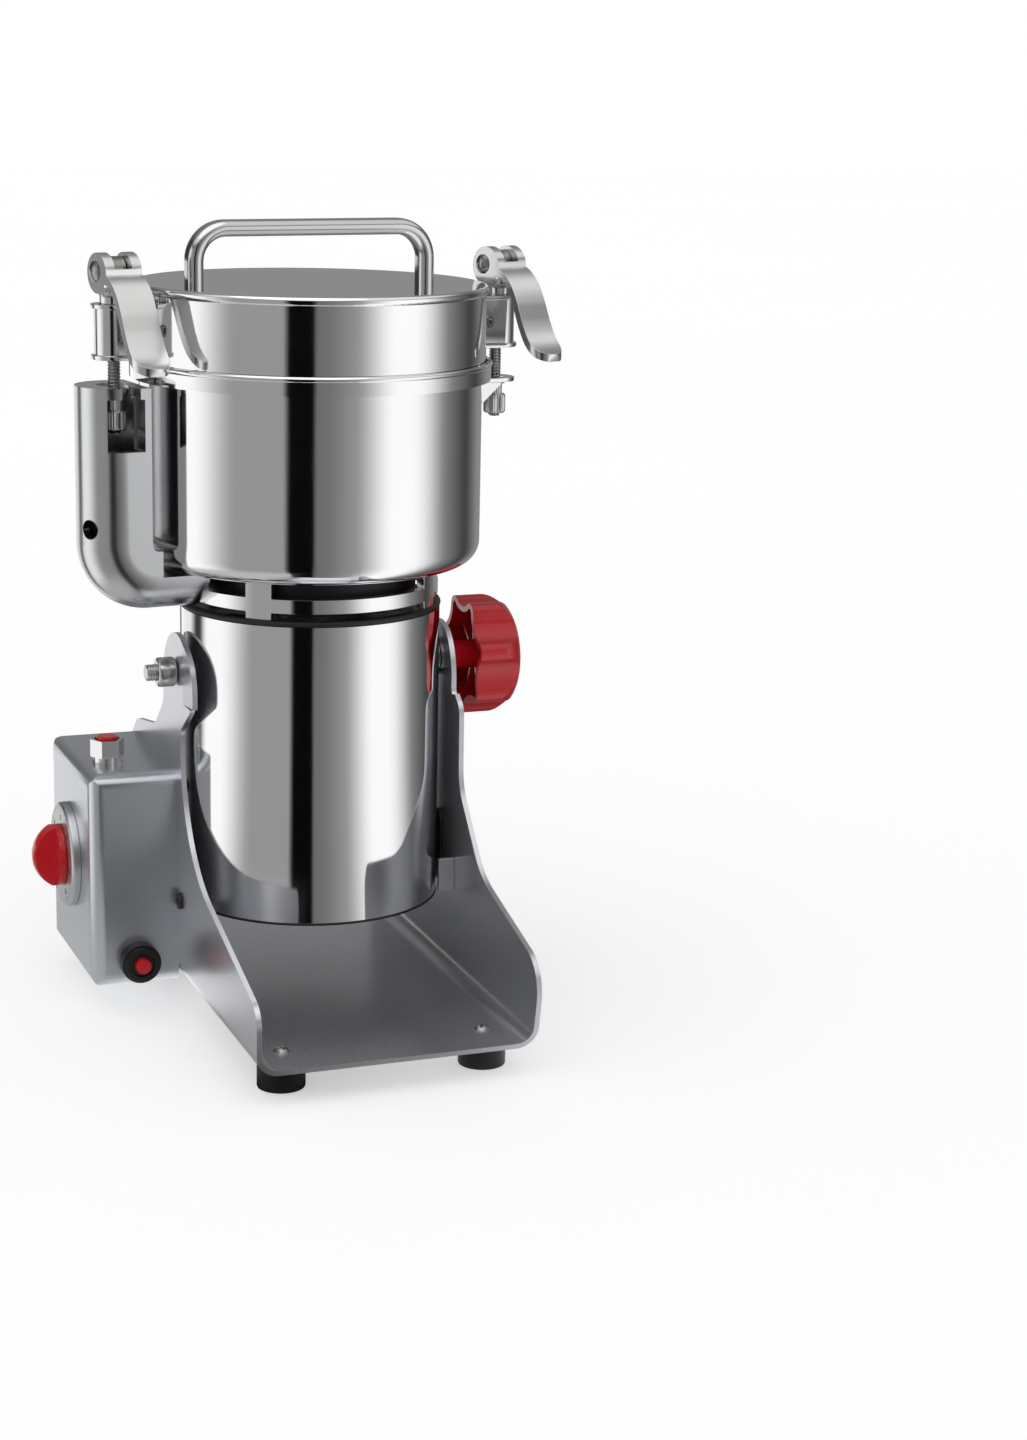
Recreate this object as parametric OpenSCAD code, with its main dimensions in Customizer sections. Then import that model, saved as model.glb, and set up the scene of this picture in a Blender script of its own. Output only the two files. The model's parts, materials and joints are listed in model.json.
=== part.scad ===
// Swing-type electric grain mill. Millimetres, +Z up, front towards -Y.
// The origin is on the floor, under the middle of the whole mill.

/* [Base frame] */
// Length of the base plate, front to back
base_len = 238.9; // [225:0.1:290]
// From the bowl axis to the front of the side walls
front_reach = 143.9; // [135:0.1:160]
// How far the base plate's front edge stays behind the side walls
lip_back = 5; // [2:0.5:10]
// Sheet thickness of the base channel
sheet_t = 2.4; // [1.5:0.1:3]
// Outer radius of the bend between plate and walls
bend_r = 10; // [5:0.5:14]
// Gap between the motor housing and each side wall
side_gap = 1.95; // [1.7:0.05:4]
// Height of the tilt axis above the floor
pivot_z = 167; // [160:1:200]
// Radius of the ear around the tilt axis
ear_r = 25; // [22:0.5:27]
// Angle of the folded front edge of each ear
ear_fold = 5; // [0:0.5:5]
// Height of the rubber feet
foot_h = 14; // [10:0.5:20]
// Radius of the rubber feet
foot_r = 11; // [9:0.5:14]
// From the middle of the base to each foot, across
foot_x = 48; // [40:1:52]
// From each end of the base plate to the feet
foot_inset = 23.6; // [15:0.5:40]

/* [Control box] */
// Width of the box, out from the side wall
box_w = 42.3; // [38:0.1:60]
// Depth of the box, front to back
box_d = 88.7; // [80:0.1:97]
// Height of the box
box_h = 104.9; // [95:0.1:110]
// Height of the box's underside above the floor
box_z = 14.2; // [8:0.1:20]
// From the bowl axis forward to the front of the box
box_front = 2.7; // [0:0.1:10]
// Sheet thickness of the box
box_t = 1.5; // [1:0.1:2.5]
// Radius of the box's edges
box_r = 7; // [3:0.5:8]
// Radius of the dial plate
dial_r = 25.5; // [20:0.5:28]
// Thickness of the dial plate
dial_t = 4.5; // [2:0.1:6]
// Radius of the timer knob
timer_knob_r = 15; // [12:0.5:18]
// Height of the timer knob over the dial plate
timer_knob_h = 13.8; // [10:0.2:18]
// Travel of the start button
start_travel = 2; // [1:0.1:2.5]
// Travel of the reset button
reset_travel = 2; // [1:0.1:2.4]

/* [Motor] */
// Outer radius of the motor housing
motor_r = 61.7; // [58:0.1:75]
// Wall of the motor housing
motor_t = 1.5; // [1:0.1:2.5]
// Height of the motor housing
motor_h = 142.1; // [138:0.1:160]
// From the tilt axis down to the housing's lower rim
pivot_drop = 112.2; // [105:0.1:120]
// Radius of the motor shaft
shaft_r = 5; // [4:0.25:6]
// Radius of the pivot studs
stud_r = 4; // [3:0.25:5]
// Height of the black ring on the housing
gasket_h = 2.7; // [1.5:0.1:4]
// Height of the slotted vent ring
vent_h = 18.4; // [16:0.1:24]

/* [Bowl and lid] */
// Outer radius of the grinding bowl
bowl_r = 80; // [75:0.5:100]
// Wall of the bowl and lid
bowl_t = 2; // [1.5:0.1:3]
// Height of the bowl
bowl_h = 95.5; // [90:0.5:120]
// Radius of the bowl's lower edge
bowl_edge_r = 11; // [6:0.5:14]
// How far the collar stands out from the bowl
collar_step = 4.3; // [3.5:0.1:6]
// Height of the collar
collar_h = 8.7; // [7:0.1:12]
// How much narrower the lid is than the collar's bore
lid_gap = 0.6; // [0.4:0.1:1.2]
// Height of the lid over the bowl's rim
lid_h = 34.7; // [32:0.1:40]
// Height of the handle over the lid
handle_h = 28.8; // [24:0.1:40]
// Width over the handle's two legs
handle_w = 124; // [90:1:130]
// Height of the handle's bar
bar_h = 7.6; // [6:0.1:9]
// Depth of the handle's bar, front to back
bar_d = 11; // [8:0.5:14]

/* [Clamps] */
// From the bowl wall out to each clamp rod
clamp_out = 17; // [16:0.1:20]
// Turn of the clamp line from the X axis, seen from above
clamp_turn = 7.05; // [0:0.05:12]
// Radius of the clamp rods
rod_r = 3; // [2.5:0.1:3.2]
// Width of the cam levers
lever_w = 18; // [16:0.5:20]
// Direction in which the left lever points, from the X axis
left_lever_az = -75.5; // [-85:0.5:-70]
// Direction in which the right lever points, from the X axis
right_lever_az = -68.5; // [-90:0.5:-60]
// Radius of the cast arm
arm_r = 18; // [16:0.5:20]
// Wall of the cast arm
arm_t = 4; // [3:0.25:5]
// Width of the slots that the rods hook into
slot_w = 8.5; // [7.5:0.1:9.5]

/* [Tilt knob] */
// Radius over the star knob's lobes
star_r = 29.5; // [24:0.5:32]
// Number of lobes
star_lobes = 7; // [5:1:9]

/* [Hidden] */
$fn = 64;
arc_steps = 12;     // straight pieces in each rounded corner of an outline
fit = 0.02;         // radial gap of a piece fixed in its seat
run = 0.05;         // radial gap of a shaft that turns in its hole
slide_fit = 0.08;   // radial gap of a button that slides in its hole
clear = 0.3;        // gap between faces that move past each other
over = 1;           // how far a cutting shape passes the face that it cuts

// Heights of the stack, from the motor up
motor_z = pivot_z - pivot_drop;
gasket_z = motor_z + motor_h;
vent_z = gasket_z + gasket_h;
bowl_z = vent_z + vent_h;
rim_z = bowl_z + bowl_h;
lid_z = rim_z + lid_h;
handle_z = lid_z + handle_h;

// Radii that follow from the bowl and the motor
wall_x = motor_r + side_gap + sheet_t;
inner_x = wall_x - sheet_t;
can_r = motor_r - motor_t;
vent_r = motor_r - 1;
collar_r = bowl_r + collar_step;
lid_r = collar_r - bowl_t - lid_gap;
clamp_r = bowl_r + clamp_out;

// Clamp heights
lug_z = rim_z + 2.1;
lug_h = 24.8;
collar_top = lug_z + lug_h + 4.4;
cam_r = 9.1;
cam_out = 1.9;
cam_down = 0.7;
pin_z = collar_top + clear + cam_r + cam_down;
pin_r = 2.5;
barrel_r = 6.5;
barrel_w = 8;
lever_reach = 42.5;
arm_top = rim_z - 9.5;
arm_plate = 5;
hook_z = arm_top - arm_plate;
nut_r = 5.35;
nut_h = 9.3;
nut_neck_r = 3.6;
nut_neck_h = 6;
nut_z = hook_z - clear - nut_neck_h - nut_h;
window_z = nut_z - 8;

// Where the bowl axis stands, so that the whole mill is centred on the origin
rear_reach = base_len - front_reach;
left_reach = wall_x + box_w + dial_t + clear + timer_knob_h;
right_reach = clamp_r * cos(clamp_turn) + (lever_reach - lever_w / 2) * cos(right_lever_az) + lever_w / 2;
axis_x = (left_reach - right_reach) / 2;
axis_y = (front_reach - rear_reach) / 2;

// Places of the controls on the box, from the bowl axis
box_y = -box_front;
box_mid_y = box_y + 46.7;
dial_z = box_z + 54.8;
start_x = -wall_x - box_w + 14.7;
start_y = box_y + 27.4;
start_r = 5;
breaker_x = -wall_x - box_w + 22.4;
breaker_z = box_z + 12.8;
reset_r = 3.75;
bezel_h = 9;
gland_z = box_z + 20;
gland_bore = 3.75;

// Motor internals
bearing_r = 13;
bearing_h = 8;
low_bearing_z = motor_z + 8;
plate_t = 4;
low_plate_z = low_bearing_z + bearing_h - plate_t;
cover_z = motor_z + 0.8;
cover_t = 2.5;
cover_screw_at = 50;
high_bearing_z = gasket_z - 11;
core_z = motor_z + 50;
core_h = 50;
armature_r = 27;
commutator_r = 14;
commutator_z = core_z + core_h + 6;
commutator_h = 18;
brush_z = commutator_z + commutator_h / 2;
fan_z = low_bearing_z + bearing_h + 6;
blade_z = bowl_z + bowl_t + 6;
blade_gap = 14;
blade_t = 3;

function unit(v) = v / norm(v);
function turn_between(a, b) = (b - a + 540) % 360 - 180;

// One corner of an outline, [x, y, radius], as the points of its arc
function corner(before, at, after) =
    let (
        p = [at[0], at[1]],
        u = unit([before[0], before[1]] - p),
        v = unit([after[0], after[1]] - p),
        half = acos(u * v) / 2,
        centre = p + unit(u + v) * at[2] / sin(half),
        from = p + u * at[2] / tan(half) - centre,
        to = p + v * at[2] / tan(half) - centre,
        start = atan2(from[1], from[0]),
        sweep = turn_between(start, atan2(to[1], to[0]))
    )
    at[2] == 0 ? [p] : [
        for (i = [0:arc_steps])
            centre + at[2] * [cos(start + sweep * i / arc_steps), sin(start + sweep * i / arc_steps)]
    ];

// An outline with every corner rounded to its own radius
function rounded(points) =
    let (n = len(points))
    [for (i = [0:n - 1]) each corner(points[(i + n - 1) % n], points[i], points[(i + 1) % n])];

module at_axis() {
    translate([axis_x, axis_y, 0]) children();
}

// Side 0 is the left clamp and side 1 the right one; local +X points out from the bowl
module on_clamp(side) {
    at_axis() rotate([0, 0, clamp_turn + 180 * (1 - side)]) children();
}

// Moves to the clamp rod of one side and turns local +X the way its lever points
module at_lever(side) {
    on_clamp(side) translate([clamp_r, 0, pin_z])
        rotate([0, 0, (side == 0 ? left_lever_az : right_lever_az) - clamp_turn - 180 * (1 - side)])
            children();
}

module ring(outer, inner, h) {
    difference() {
        cylinder(r = outer, h = h);
        translate([0, 0, -over]) cylinder(r = inner, h = h + 2 * over);
    }
}

module rounded_rect(w, h, r) {
    translate([r, 0]) square([w - 2 * r, h]);
    translate([0, r]) square([w, h - 2 * r]);
    for (x = [r, w - r], y = [r, h - r]) translate([x, y]) circle(r);
}

// A block with all its edges rounded, from one corner
module rounded_block(size, r) {
    intersection() {
        linear_extrude(size[2]) rounded_rect(size[0], size[1], r);
        translate([0, size[1], 0]) rotate([90, 0, 0])
            linear_extrude(size[1]) rounded_rect(size[0], size[2], r);
        rotate([90, 0, 90]) linear_extrude(size[0]) rounded_rect(size[1], size[2], r);
    }
}

// A cylinder along X
module x_rod(r, x0, x1) {
    translate([x0, 0, 0]) rotate([0, 90, 0]) cylinder(r = r, h = x1 - x0);
}

// A cylinder along Y
module y_rod(r, y0, y1) {
    translate([0, y0, 0]) rotate([-90, 0, 0]) cylinder(r = r, h = y1 - y0);
}

// ---- Base ----

ear_y = -2;

// Front edge of each side wall, from the plate up to the ear: [Y, Z, corner radius]
left_front = [
    [-front_reach + 4.5, 44.3, 12],
    [-8, 82, 66],
    [-8, pivot_z - 27, 8],
    [ear_y - ear_r, pivot_z - 14, 5]
];
right_front = [
    [-front_reach - 2.5, 53, 18],
    [-68, 74, 40],
    [-36, 110, 24],
    [-35.5, pivot_z - 18, 9],
    [ear_y - ear_r, pivot_z - 12, 4]
];

// Side wall seen from the right: Y to the back, Z up
module side_outline(front) {
    ear_top = pivot_z + ear_r - 6.5;
    polygon(rounded([
        [-front_reach + lip_back, foot_h, 0],
        each front,
        [ear_y - ear_r, ear_top, ear_r - 0.1],
        [ear_y + ear_r, ear_top, ear_r - 0.1],
        [ear_y + ear_r + 1, pivot_z - 20, 12],
        [42, 132, 16],
        [rear_reach - 16, 126, 12],
        [rear_reach, 112, 10],
        [rear_reach, foot_h, 0]
    ]));
}

module channel_section(inset) {
    w = 2 * (wall_x - inset);
    r = bend_r - inset;
    translate([-w / 2, foot_h + inset]) {
        translate([0, r]) square([w, pivot_z + ear_r - foot_h]);
        translate([r, 0]) square([w - 2 * r, 2 * r]);
        for (x = [r, w - r]) translate([x, r]) circle(r);
    }
}

module channel() {
    translate([0, rear_reach + over, 0]) rotate([90, 0, 0])
        linear_extrude(base_len + lip_back + 2 * over) difference() {
            channel_section(0);
            channel_section(sheet_t);
        }
}

// The front of each ear is folded in a little, along an upright line
ear_fold_y = -14;
ear_fold_z = pivot_z - 13;

module ear_front_zone() {
    translate([-wall_x - over, ear_fold_y - 40, ear_fold_z]) cube([2 * (wall_x + over), 40, 60]);
}

module folded_ears() {
    for (s = [-1, 1])
        translate([s * wall_x, ear_fold_y, ear_fold_z]) rotate([0, 0, -s * ear_fold])
            translate([s > 0 ? -sheet_t : 0, -30, 0]) cube([sheet_t, 30 + sheet_t / 4, 60]);
}

module side_mask() {
    translate([-wall_x - over, 0, 0]) rotate([90, 0, 90]) linear_extrude(wall_x + over) side_outline(left_front);
    rotate([90, 0, 90]) linear_extrude(wall_x + over) side_outline(right_front);
}

grommet_r = 4;
grommet_neck_r = 2.5;
grommet_bore = 1.5;
grommet_head_t = 1.6;
grommet_y = box_y - grommet_r - 0.1;
grommet_z = 56;

module base_frame() {
    color("lightslategray") at_axis() difference() {
        intersection() {
            union() {
                difference() {
                    channel();
                    ear_front_zone();
                }
                folded_ears();
            }
            side_mask();
        }
        translate([0, 0, pivot_z]) x_rod(stud_r + run, -wall_x - over, wall_x + over);
        for (p = foot_places)
            translate([p[0], p[1], foot_h - over]) cylinder(r = screw_r, h = sheet_t + 2 * over);
        translate([0, grommet_y, grommet_z]) x_rod(grommet_neck_r, -wall_x - over, -inner_x + over);
        for (p = box_bosses) translate([0, p[0], p[1]]) x_rod(screw_r, -wall_x - over, -inner_x + over);
    }
}

screw_r = 2;
foot_floor = 4;
foot_screw_len = 11;
screw_head_h = 2.2;
low_head_h = 1.2;
foot_places = [
    for (x = [-foot_x, foot_x], y = [-front_reach + lip_back + foot_inset, rear_reach - foot_inset]) [x, y]
];

module rubber_feet() {
    color("black") at_axis() for (p = foot_places) translate([p[0], p[1], 0]) difference() {
        cylinder(r = foot_r, h = foot_h);
        translate([0, 0, foot_floor]) cylinder(r = screw_r + fit, h = foot_h);
    }
}

// A pan-head screw, head up, with its head's underside at z = 0
module pan_screw(r, length, head_h) {
    head_r = 1.85 * r;
    dome_r = (head_r * head_r + head_h * head_h) / (2 * head_h);
    rotate_extrude() {
        translate([0, -length]) square([r, length]);
        intersection() {
            translate([0, head_h - dome_r]) circle(dome_r);
            square([head_r + over, head_h]);
        }
    }
}

module foot_screws() {
    length = min(foot_screw_len, foot_h + sheet_t - foot_floor - over);
    color("silver") at_axis() for (p = foot_places)
        translate([p[0], p[1], foot_h + sheet_t]) pan_screw(screw_r - fit, length, screw_head_h);
}

// Bracket inside the right wall, in front of the housing's lower end, that holds the head upright
stop_x = motor_r + 0.45;
stop_z = motor_z + 2.5;
stop_front = 32;
stop_bar_h = 7;
stop_leaf_t = 2.5;
stop_leaf_h = 16;
stop_lap = 6;
pad_w = 13;
pad_h = 28;
pad_r = 6.4;
pad_back = 15;

module upright_stop() {
    color("slategray") at_axis() {
        difference() {
            union() {
                translate([stop_x, -stop_front, stop_z]) cube([inner_x - stop_x, stop_front - 1, stop_bar_h]);
                translate([motor_r - stop_lap, -stop_front, stop_z])
                    cube([inner_x - motor_r + stop_lap, stop_leaf_t, stop_leaf_h]);
            }
            cylinder(r = motor_r + clear, h = pivot_z);
        }
    }
}

module stop_pad() {
    color("black") at_axis() translate([stop_x, -pad_back, stop_z + stop_bar_h + fit]) rotate([90, 0, 90])
        linear_extrude(inner_x - stop_x) rounded_rect(pad_w, pad_h, pad_r);
}

module wall_grommet() {
    color("black") at_axis() translate([0, grommet_y, grommet_z]) difference() {
        union() {
            x_rod(grommet_neck_r - fit, -wall_x, -inner_x);
            x_rod(grommet_r, -wall_x - grommet_head_t, -wall_x);
        }
        x_rod(grommet_bore, -wall_x - grommet_head_t - over, -inner_x + over);
    }
}

// ---- Control box ----

boss_r = 4.5;
boss_h = 12;
boss_inset = box_t + boss_r - 0.8;
boss_floor = 1;
box_bosses = [
    for (y = [box_y + boss_inset, box_y + box_d - boss_inset], z = [box_z + 32, box_z + box_h - 9]) [y, z]
];

module control_box() {
    x0 = -wall_x - box_w;
    color("lightslategray") at_axis() difference() {
        union() {
            difference() {
                intersection() {
                    translate([x0, box_y, box_z]) rounded_block([box_w + 2 * box_r, box_d, box_h], box_r);
                    translate([x0, box_y, box_z]) cube([box_w, box_d, box_h]);
                }
                translate([x0 + box_t, box_y + box_t, box_z + box_t])
                    rounded_block([box_w + 2 * box_r, box_d - 2 * box_t, box_h - 2 * box_t], box_r - box_t);
            }
            for (p = box_bosses) translate([0, p[0], p[1]]) x_rod(boss_r, -wall_x - boss_h, -wall_x);
        }
        for (p = box_bosses)
            translate([0, p[0], p[1]]) x_rod(screw_r, -wall_x - boss_h + boss_floor, -wall_x + over);
        translate([0, box_mid_y, dial_z]) x_rod(timer_neck_r + fit, x0 - over, x0 + 2 * box_t);
        translate([start_x, start_y, box_z + box_h - 2 * box_t])
            cylinder(r = start_neck_r + fit, h = 3 * box_t);
        translate([breaker_x, 0, breaker_z]) y_rod(breaker_neck_r + fit, box_y - over, box_y + 2 * box_t);
        translate([gland_x, 0, gland_z])
            y_rod(gland_neck_r + fit, box_y + box_d - 2 * box_t, box_y + box_d + over);
    }
}

module box_screws() {
    length = sheet_t + boss_h - 2 * boss_floor;
    color("silver") at_axis() for (p = box_bosses)
        translate([-inner_x, p[0], p[1]]) rotate([0, 90, 0]) pan_screw(screw_r - fit, length, low_head_h);
}

gland_x = -wall_x - box_w / 2;
gland_neck_r = 6.5;
gland_out = 9;
gland_in = 6;
gland_flange_t = 3;

module cord_gland() {
    back = box_y + box_d;
    color("black") at_axis() translate([gland_x, 0, gland_z]) difference() {
        union() {
            y_rod(gland_neck_r, back - box_t - gland_in, back);
            y_rod(gland_neck_r + 2.5, back, back + gland_flange_t);
            y_rod(gland_neck_r + 0.5, back + gland_flange_t, back + gland_out);
            y_rod(gland_neck_r + 2, back - box_t - gland_in + 1, back - box_t - fit);
        }
        y_rod(gland_bore, back - box_t - gland_in - over, back + gland_out + over);
    }
}

timer_neck_r = 6;
timer_shaft_r = 3;
timer_shaft_in = 14;
timer_w = 38;
timer_depth = 24;
knob_bore_h = 8;

module timer_body() {
    x0 = -wall_x - box_w + box_t + fit;
    color("ivory") at_axis() translate([0, box_mid_y, dial_z]) difference() {
        union() {
            translate([x0, -timer_w / 2, -timer_w / 2]) cube([timer_depth, timer_w, timer_w]);
            x_rod(timer_neck_r, x0 - box_t - fit, x0);
        }
        x_rod(timer_shaft_r + run, x0 - box_t - over, x0 + timer_shaft_in + 1);
    }
}

module timer_shaft() {
    x0 = -wall_x - box_w;
    color("gold") at_axis() translate([0, box_mid_y, dial_z])
        x_rod(timer_shaft_r, x0 - dial_t - clear - knob_bore_h, x0 + box_t + timer_shaft_in);
}

module dial_plate() {
    x0 = -wall_x - box_w;
    edge = 1.2;
    color("silver") at_axis() translate([x0, box_mid_y, dial_z]) rotate([0, -90, 0]) difference() {
        union() {
            cylinder(r = dial_r, h = dial_t - edge);
            translate([0, 0, dial_t - edge]) cylinder(r1 = dial_r, r2 = dial_r - edge, h = edge);
        }
        translate([0, 0, -over]) cylinder(r = timer_shaft_r + 2, h = dial_t + 2 * over);
    }
}

timer_knob_dome_r = 17;
knob_rim_h = 3;
grip_half = 4.5;

// Low dome with a grip bar left standing between two flats
module timer_knob() {
    x0 = -wall_x - box_w - dial_t - clear;
    color("red") at_axis() translate([x0, box_mid_y, dial_z]) rotate([0, -90, 0]) difference() {
        rotate_extrude() difference() {
            union() {
                square([timer_knob_r, knob_rim_h]);
                intersection() {
                    translate([0, timer_knob_h - timer_knob_dome_r]) circle(timer_knob_dome_r, $fn = 96);
                    square([timer_knob_r, timer_knob_h]);
                }
            }
            translate([-2 * timer_knob_r, -over]) square([2 * timer_knob_r, 3 * timer_knob_r]);
        }
        for (s = [-1, 1])
            translate([-timer_knob_r - over, s > 0 ? grip_half : -grip_half - timer_knob_r, knob_rim_h])
                cube([2 * (timer_knob_r + over), timer_knob_r, timer_knob_h]);
        translate([0, 0, -over]) cylinder(r = timer_shaft_r + fit, h = knob_bore_h + over);
    }
}

breaker_neck_r = 5.6;
breaker_nut_r = 9.5;
breaker_edge = 1.2;
breaker_w = 18;
breaker_depth = 26;
breaker_h = 16;
reset_inside = 5;

module breaker_body() {
    inside = box_y + box_t + fit;
    color("dimgray") at_axis() translate([breaker_x, 0, breaker_z]) difference() {
        union() {
            translate([-breaker_w / 2, inside, -reset_r - 1]) cube([breaker_w, breaker_depth, breaker_h]);
            y_rod(breaker_neck_r, box_y - bezel_h + 1, inside);
        }
        y_rod(reset_r + slide_fit, box_y - bezel_h - over, inside + reset_inside + 1 + reset_travel);
    }
}

module breaker_nut() {
    color("black") at_axis() translate([breaker_x, 0, breaker_z]) difference() {
        union() {
            y_rod(breaker_nut_r, box_y - bezel_h + 2, box_y);
            y_rod(breaker_nut_r - breaker_edge, box_y - bezel_h, box_y);
        }
        y_rod(breaker_neck_r + fit, box_y - bezel_h - over, box_y + over);
    }
}

module reset_button() {
    color("red") at_axis() translate([breaker_x, 0, breaker_z])
        y_rod(reset_r, box_y - bezel_h - reset_travel - 0.6, box_y + box_t + reset_inside);
}

start_neck_r = 6.1;
start_collar_z = box_z + box_h;
start_neck_h = 10;
start_nut_r = 8.2;
start_nut_h = 8.4;
start_foot_r = 6.9;
start_foot_h = 3;
start_body_w = 16;
start_body_h = 24;
start_inside = 7;

module start_switch_body() {
    inside = start_collar_z - box_t - fit;
    color("dimgray") at_axis() translate([start_x, start_y, 0]) difference() {
        union() {
            translate([-start_body_w / 2, -start_body_w / 2, inside - start_body_h])
                cube([start_body_w, start_body_w, start_body_h]);
            translate([0, 0, inside]) cylinder(r = start_neck_r, h = box_t + start_neck_h);
        }
        translate([0, 0, inside - start_inside - 1 - start_travel])
            cylinder(
                r = start_r + slide_fit,
                h = start_inside + start_travel + box_t + start_neck_h + 2 * over
            );
    }
}

module start_switch_collar() {
    color("gainsboro") at_axis() translate([start_x, start_y, start_collar_z]) difference() {
        union() {
            cylinder(r = start_foot_r, h = start_foot_h);
            translate([0, 0, start_foot_h]) cylinder(r = start_nut_r, h = start_nut_h, $fn = 6);
        }
        translate([0, 0, -over]) cylinder(r = start_neck_r + fit, h = start_foot_h + start_nut_h + 2 * over);
    }
}

module start_button() {
    above = start_foot_h + start_nut_h + start_travel - 0.6;
    color("red") at_axis() translate([start_x, start_y, start_collar_z - box_t - start_inside])
        cylinder(r = start_r, h = box_t + start_inside + above);
}

// ---- Tilt knob and pivot ----

star_x0 = wall_x + 11;
star_x1 = wall_x + 35;
star_t = 2.6;
star_edge_r = 14;
lobe_r = 5;
scallop_r = 14;
lobe_at = star_r - lobe_r;
lobe_pitch = 360 / star_lobes;

// The scallop between two lobes touches both, so its centre lies this far out
scallop_at = let (c = lobe_at * cos(lobe_pitch / 2))
    c + sqrt(c * c - lobe_at * lobe_at + (lobe_r + scallop_r) * (lobe_r + scallop_r));

function polar(r, a) = [r * cos(a), r * sin(a)];

// Outline of the star knob, with round lobes and hollow scallops
module star(inset) {
    difference() {
        union() {
            polygon([
                for (i = [0:star_lobes - 1], s = [-1, 1])
                    let (
                        lobe = polar(lobe_at, i * lobe_pitch),
                        scallop = polar(scallop_at, (i + s / 2) * lobe_pitch)
                    )
                    lobe + (lobe_r - inset) * unit(scallop - lobe)
            ]);
            for (i = [0:star_lobes - 1])
                rotate(i * lobe_pitch) translate([lobe_at, 0]) circle(lobe_r - inset);
        }
        for (i = [0:star_lobes - 1])
            rotate((i + 0.5) * lobe_pitch) translate([scallop_at, 0]) circle(scallop_r + inset + fit);
    }
}

// The knob's body from its open side up, less an inset all round
module star_body(inset) {
    h = star_x1 - star_x0 - inset;
    r = star_edge_r - inset;
    edge_at = star_r + 0.3 - star_edge_r;
    intersection() {
        linear_extrude(h) star(inset);
        rotate_extrude() {
            square([edge_at, h]);
            square([star_r + over, h - r]);
            translate([edge_at, h - r]) intersection() {
                circle(r);
                square(r);
            }
        }
    }
}

module tilt_knob() {
    hub_r = 7;
    rib_t = 1.2;
    rib_recess = 6;
    color("crimson") at_axis() translate([star_x0, 0, pivot_z]) rotate([0, 90, 0]) difference() {
        union() {
            difference() {
                star_body(0);
                translate([0, 0, -fit]) star_body(star_t);
            }
            translate([0, 0, wall_x + clear - star_x0])
                cylinder(r = hub_r, h = star_x1 - wall_x - clear - 1);
            intersection() {
                star_body(1);
                for (i = [0:star_lobes - 1]) rotate((i + 0.5) * lobe_pitch)
                    translate([hub_r - 1, -rib_t / 2, rib_recess])
                        cube([star_r, rib_t, star_x1 - star_x0]);
            }
        }
        translate([0, 0, wall_x - star_x0]) cylinder(r = stud_r + run, h = stud_right + 2 - wall_x);
    }
}

stud_in = can_r - 9;
stud_left = -wall_x - 14.5;
stud_right = wall_x + 30;

module pivot_studs() {
    color("silver") at_axis() translate([0, 0, pivot_z]) {
        x_rod(stud_r, stud_left, -stud_in);
        x_rod(stud_r, stud_in, stud_right);
    }
}

pivot_nut_r = 7;
pivot_nut_h = 9;
pivot_washer_r = 9;

// The outer nut on the left, and one thin washer inside each ear
module pivot_nuts() {
    color("silver") at_axis() translate([0, 0, pivot_z]) {
        difference() {
            x_rod(pivot_nut_r, -wall_x - clear - pivot_nut_h, -wall_x - clear);
            x_rod(stud_r + fit, stud_left - over, -wall_x + over);
        }
        for (s = [-1, 1]) difference() {
            x0 = s > 0 ? motor_r + 0.1 : -inner_x + 0.15;
            x_rod(pivot_washer_r, x0, x0 + side_gap - 0.25);
            x_rod(stud_r + fit, s > 0 ? stud_in : -stud_right, s > 0 ? stud_right : -stud_in);
        }
    }
}

// ---- Motor ----

module motor_housing() {
    color("silver") at_axis() difference() {
        union() {
            translate([0, 0, motor_z]) ring(motor_r, can_r, motor_h);
            intersection() {
                translate([0, 0, motor_z]) cylinder(r = can_r + motor_t / 2, h = motor_h);
                translate([0, 0, pivot_z]) for (s = [-1, 1])
                    x_rod(10, s > 0 ? stud_in : -motor_r, s > 0 ? motor_r : -stud_in);
            }
        }
        translate([0, 0, pivot_z]) x_rod(stud_r + fit, -motor_r - over, motor_r + over);
    }
}

cover_hole_at = [26, 38];
cover_hole_r = 3;
cover_screw_len = 9;

module motor_end_cover() {
    color("dimgray") at_axis() translate([0, 0, cover_z]) difference() {
        cylinder(r = can_r - fit, h = cover_t);
        for (i = [0:11], r = cover_hole_at) rotate(i * 30)
            translate([r, 0, -over]) cylinder(r = cover_hole_r, h = cover_t + 2 * over);
        at_cover_screws() translate([0, 0, -over]) cylinder(r = screw_r, h = cover_t + 2 * over);
    }
}

module at_cover_screws() {
    for (i = [0:2]) rotate(60 + i * 120) translate([cover_screw_at, 0, 0]) children();
}

module cover_screws() {
    color("silver") at_axis() at_cover_screws()
        translate([0, 0, cover_z]) rotate([180, 0, 0])
            pan_screw(screw_r - fit, cover_screw_len, screw_head_h);
}

module housing_gasket() {
    color("black") at_axis() translate([0, 0, gasket_z]) ring(motor_r + 0.6, can_r - 2, gasket_h);
}

vent_low = 3.3;
vent_band = 6.5;
vent_wall = 4;
post_turn = 50;
post_angle = 12;

module post_wedge(h) {
    far = 2 * vent_r;
    half = post_angle / 2;
    linear_extrude(h) polygon([[0, 0], [far, -far * tan(half)], [far, far * tan(half)]]);
}

module vent_ring() {
    color("silver") at_axis() translate([0, 0, vent_z]) {
        translate([0, 0, vent_low]) ring(vent_r, vent_r - vent_wall, vent_band);
        intersection() {
            ring(vent_r, vent_r - vent_wall, vent_h);
            for (i = [0:3]) rotate(post_turn + i * 90) post_wedge(vent_h);
        }
    }
}

stator_r = can_r - fit;
pole_r = armature_r + 0.8;
yoke_t = 15;
pole_neck_w = 22;
pole_w = 40;
coil_w = 34;
coil_t = 7.5;
coil_end = 7;

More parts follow.
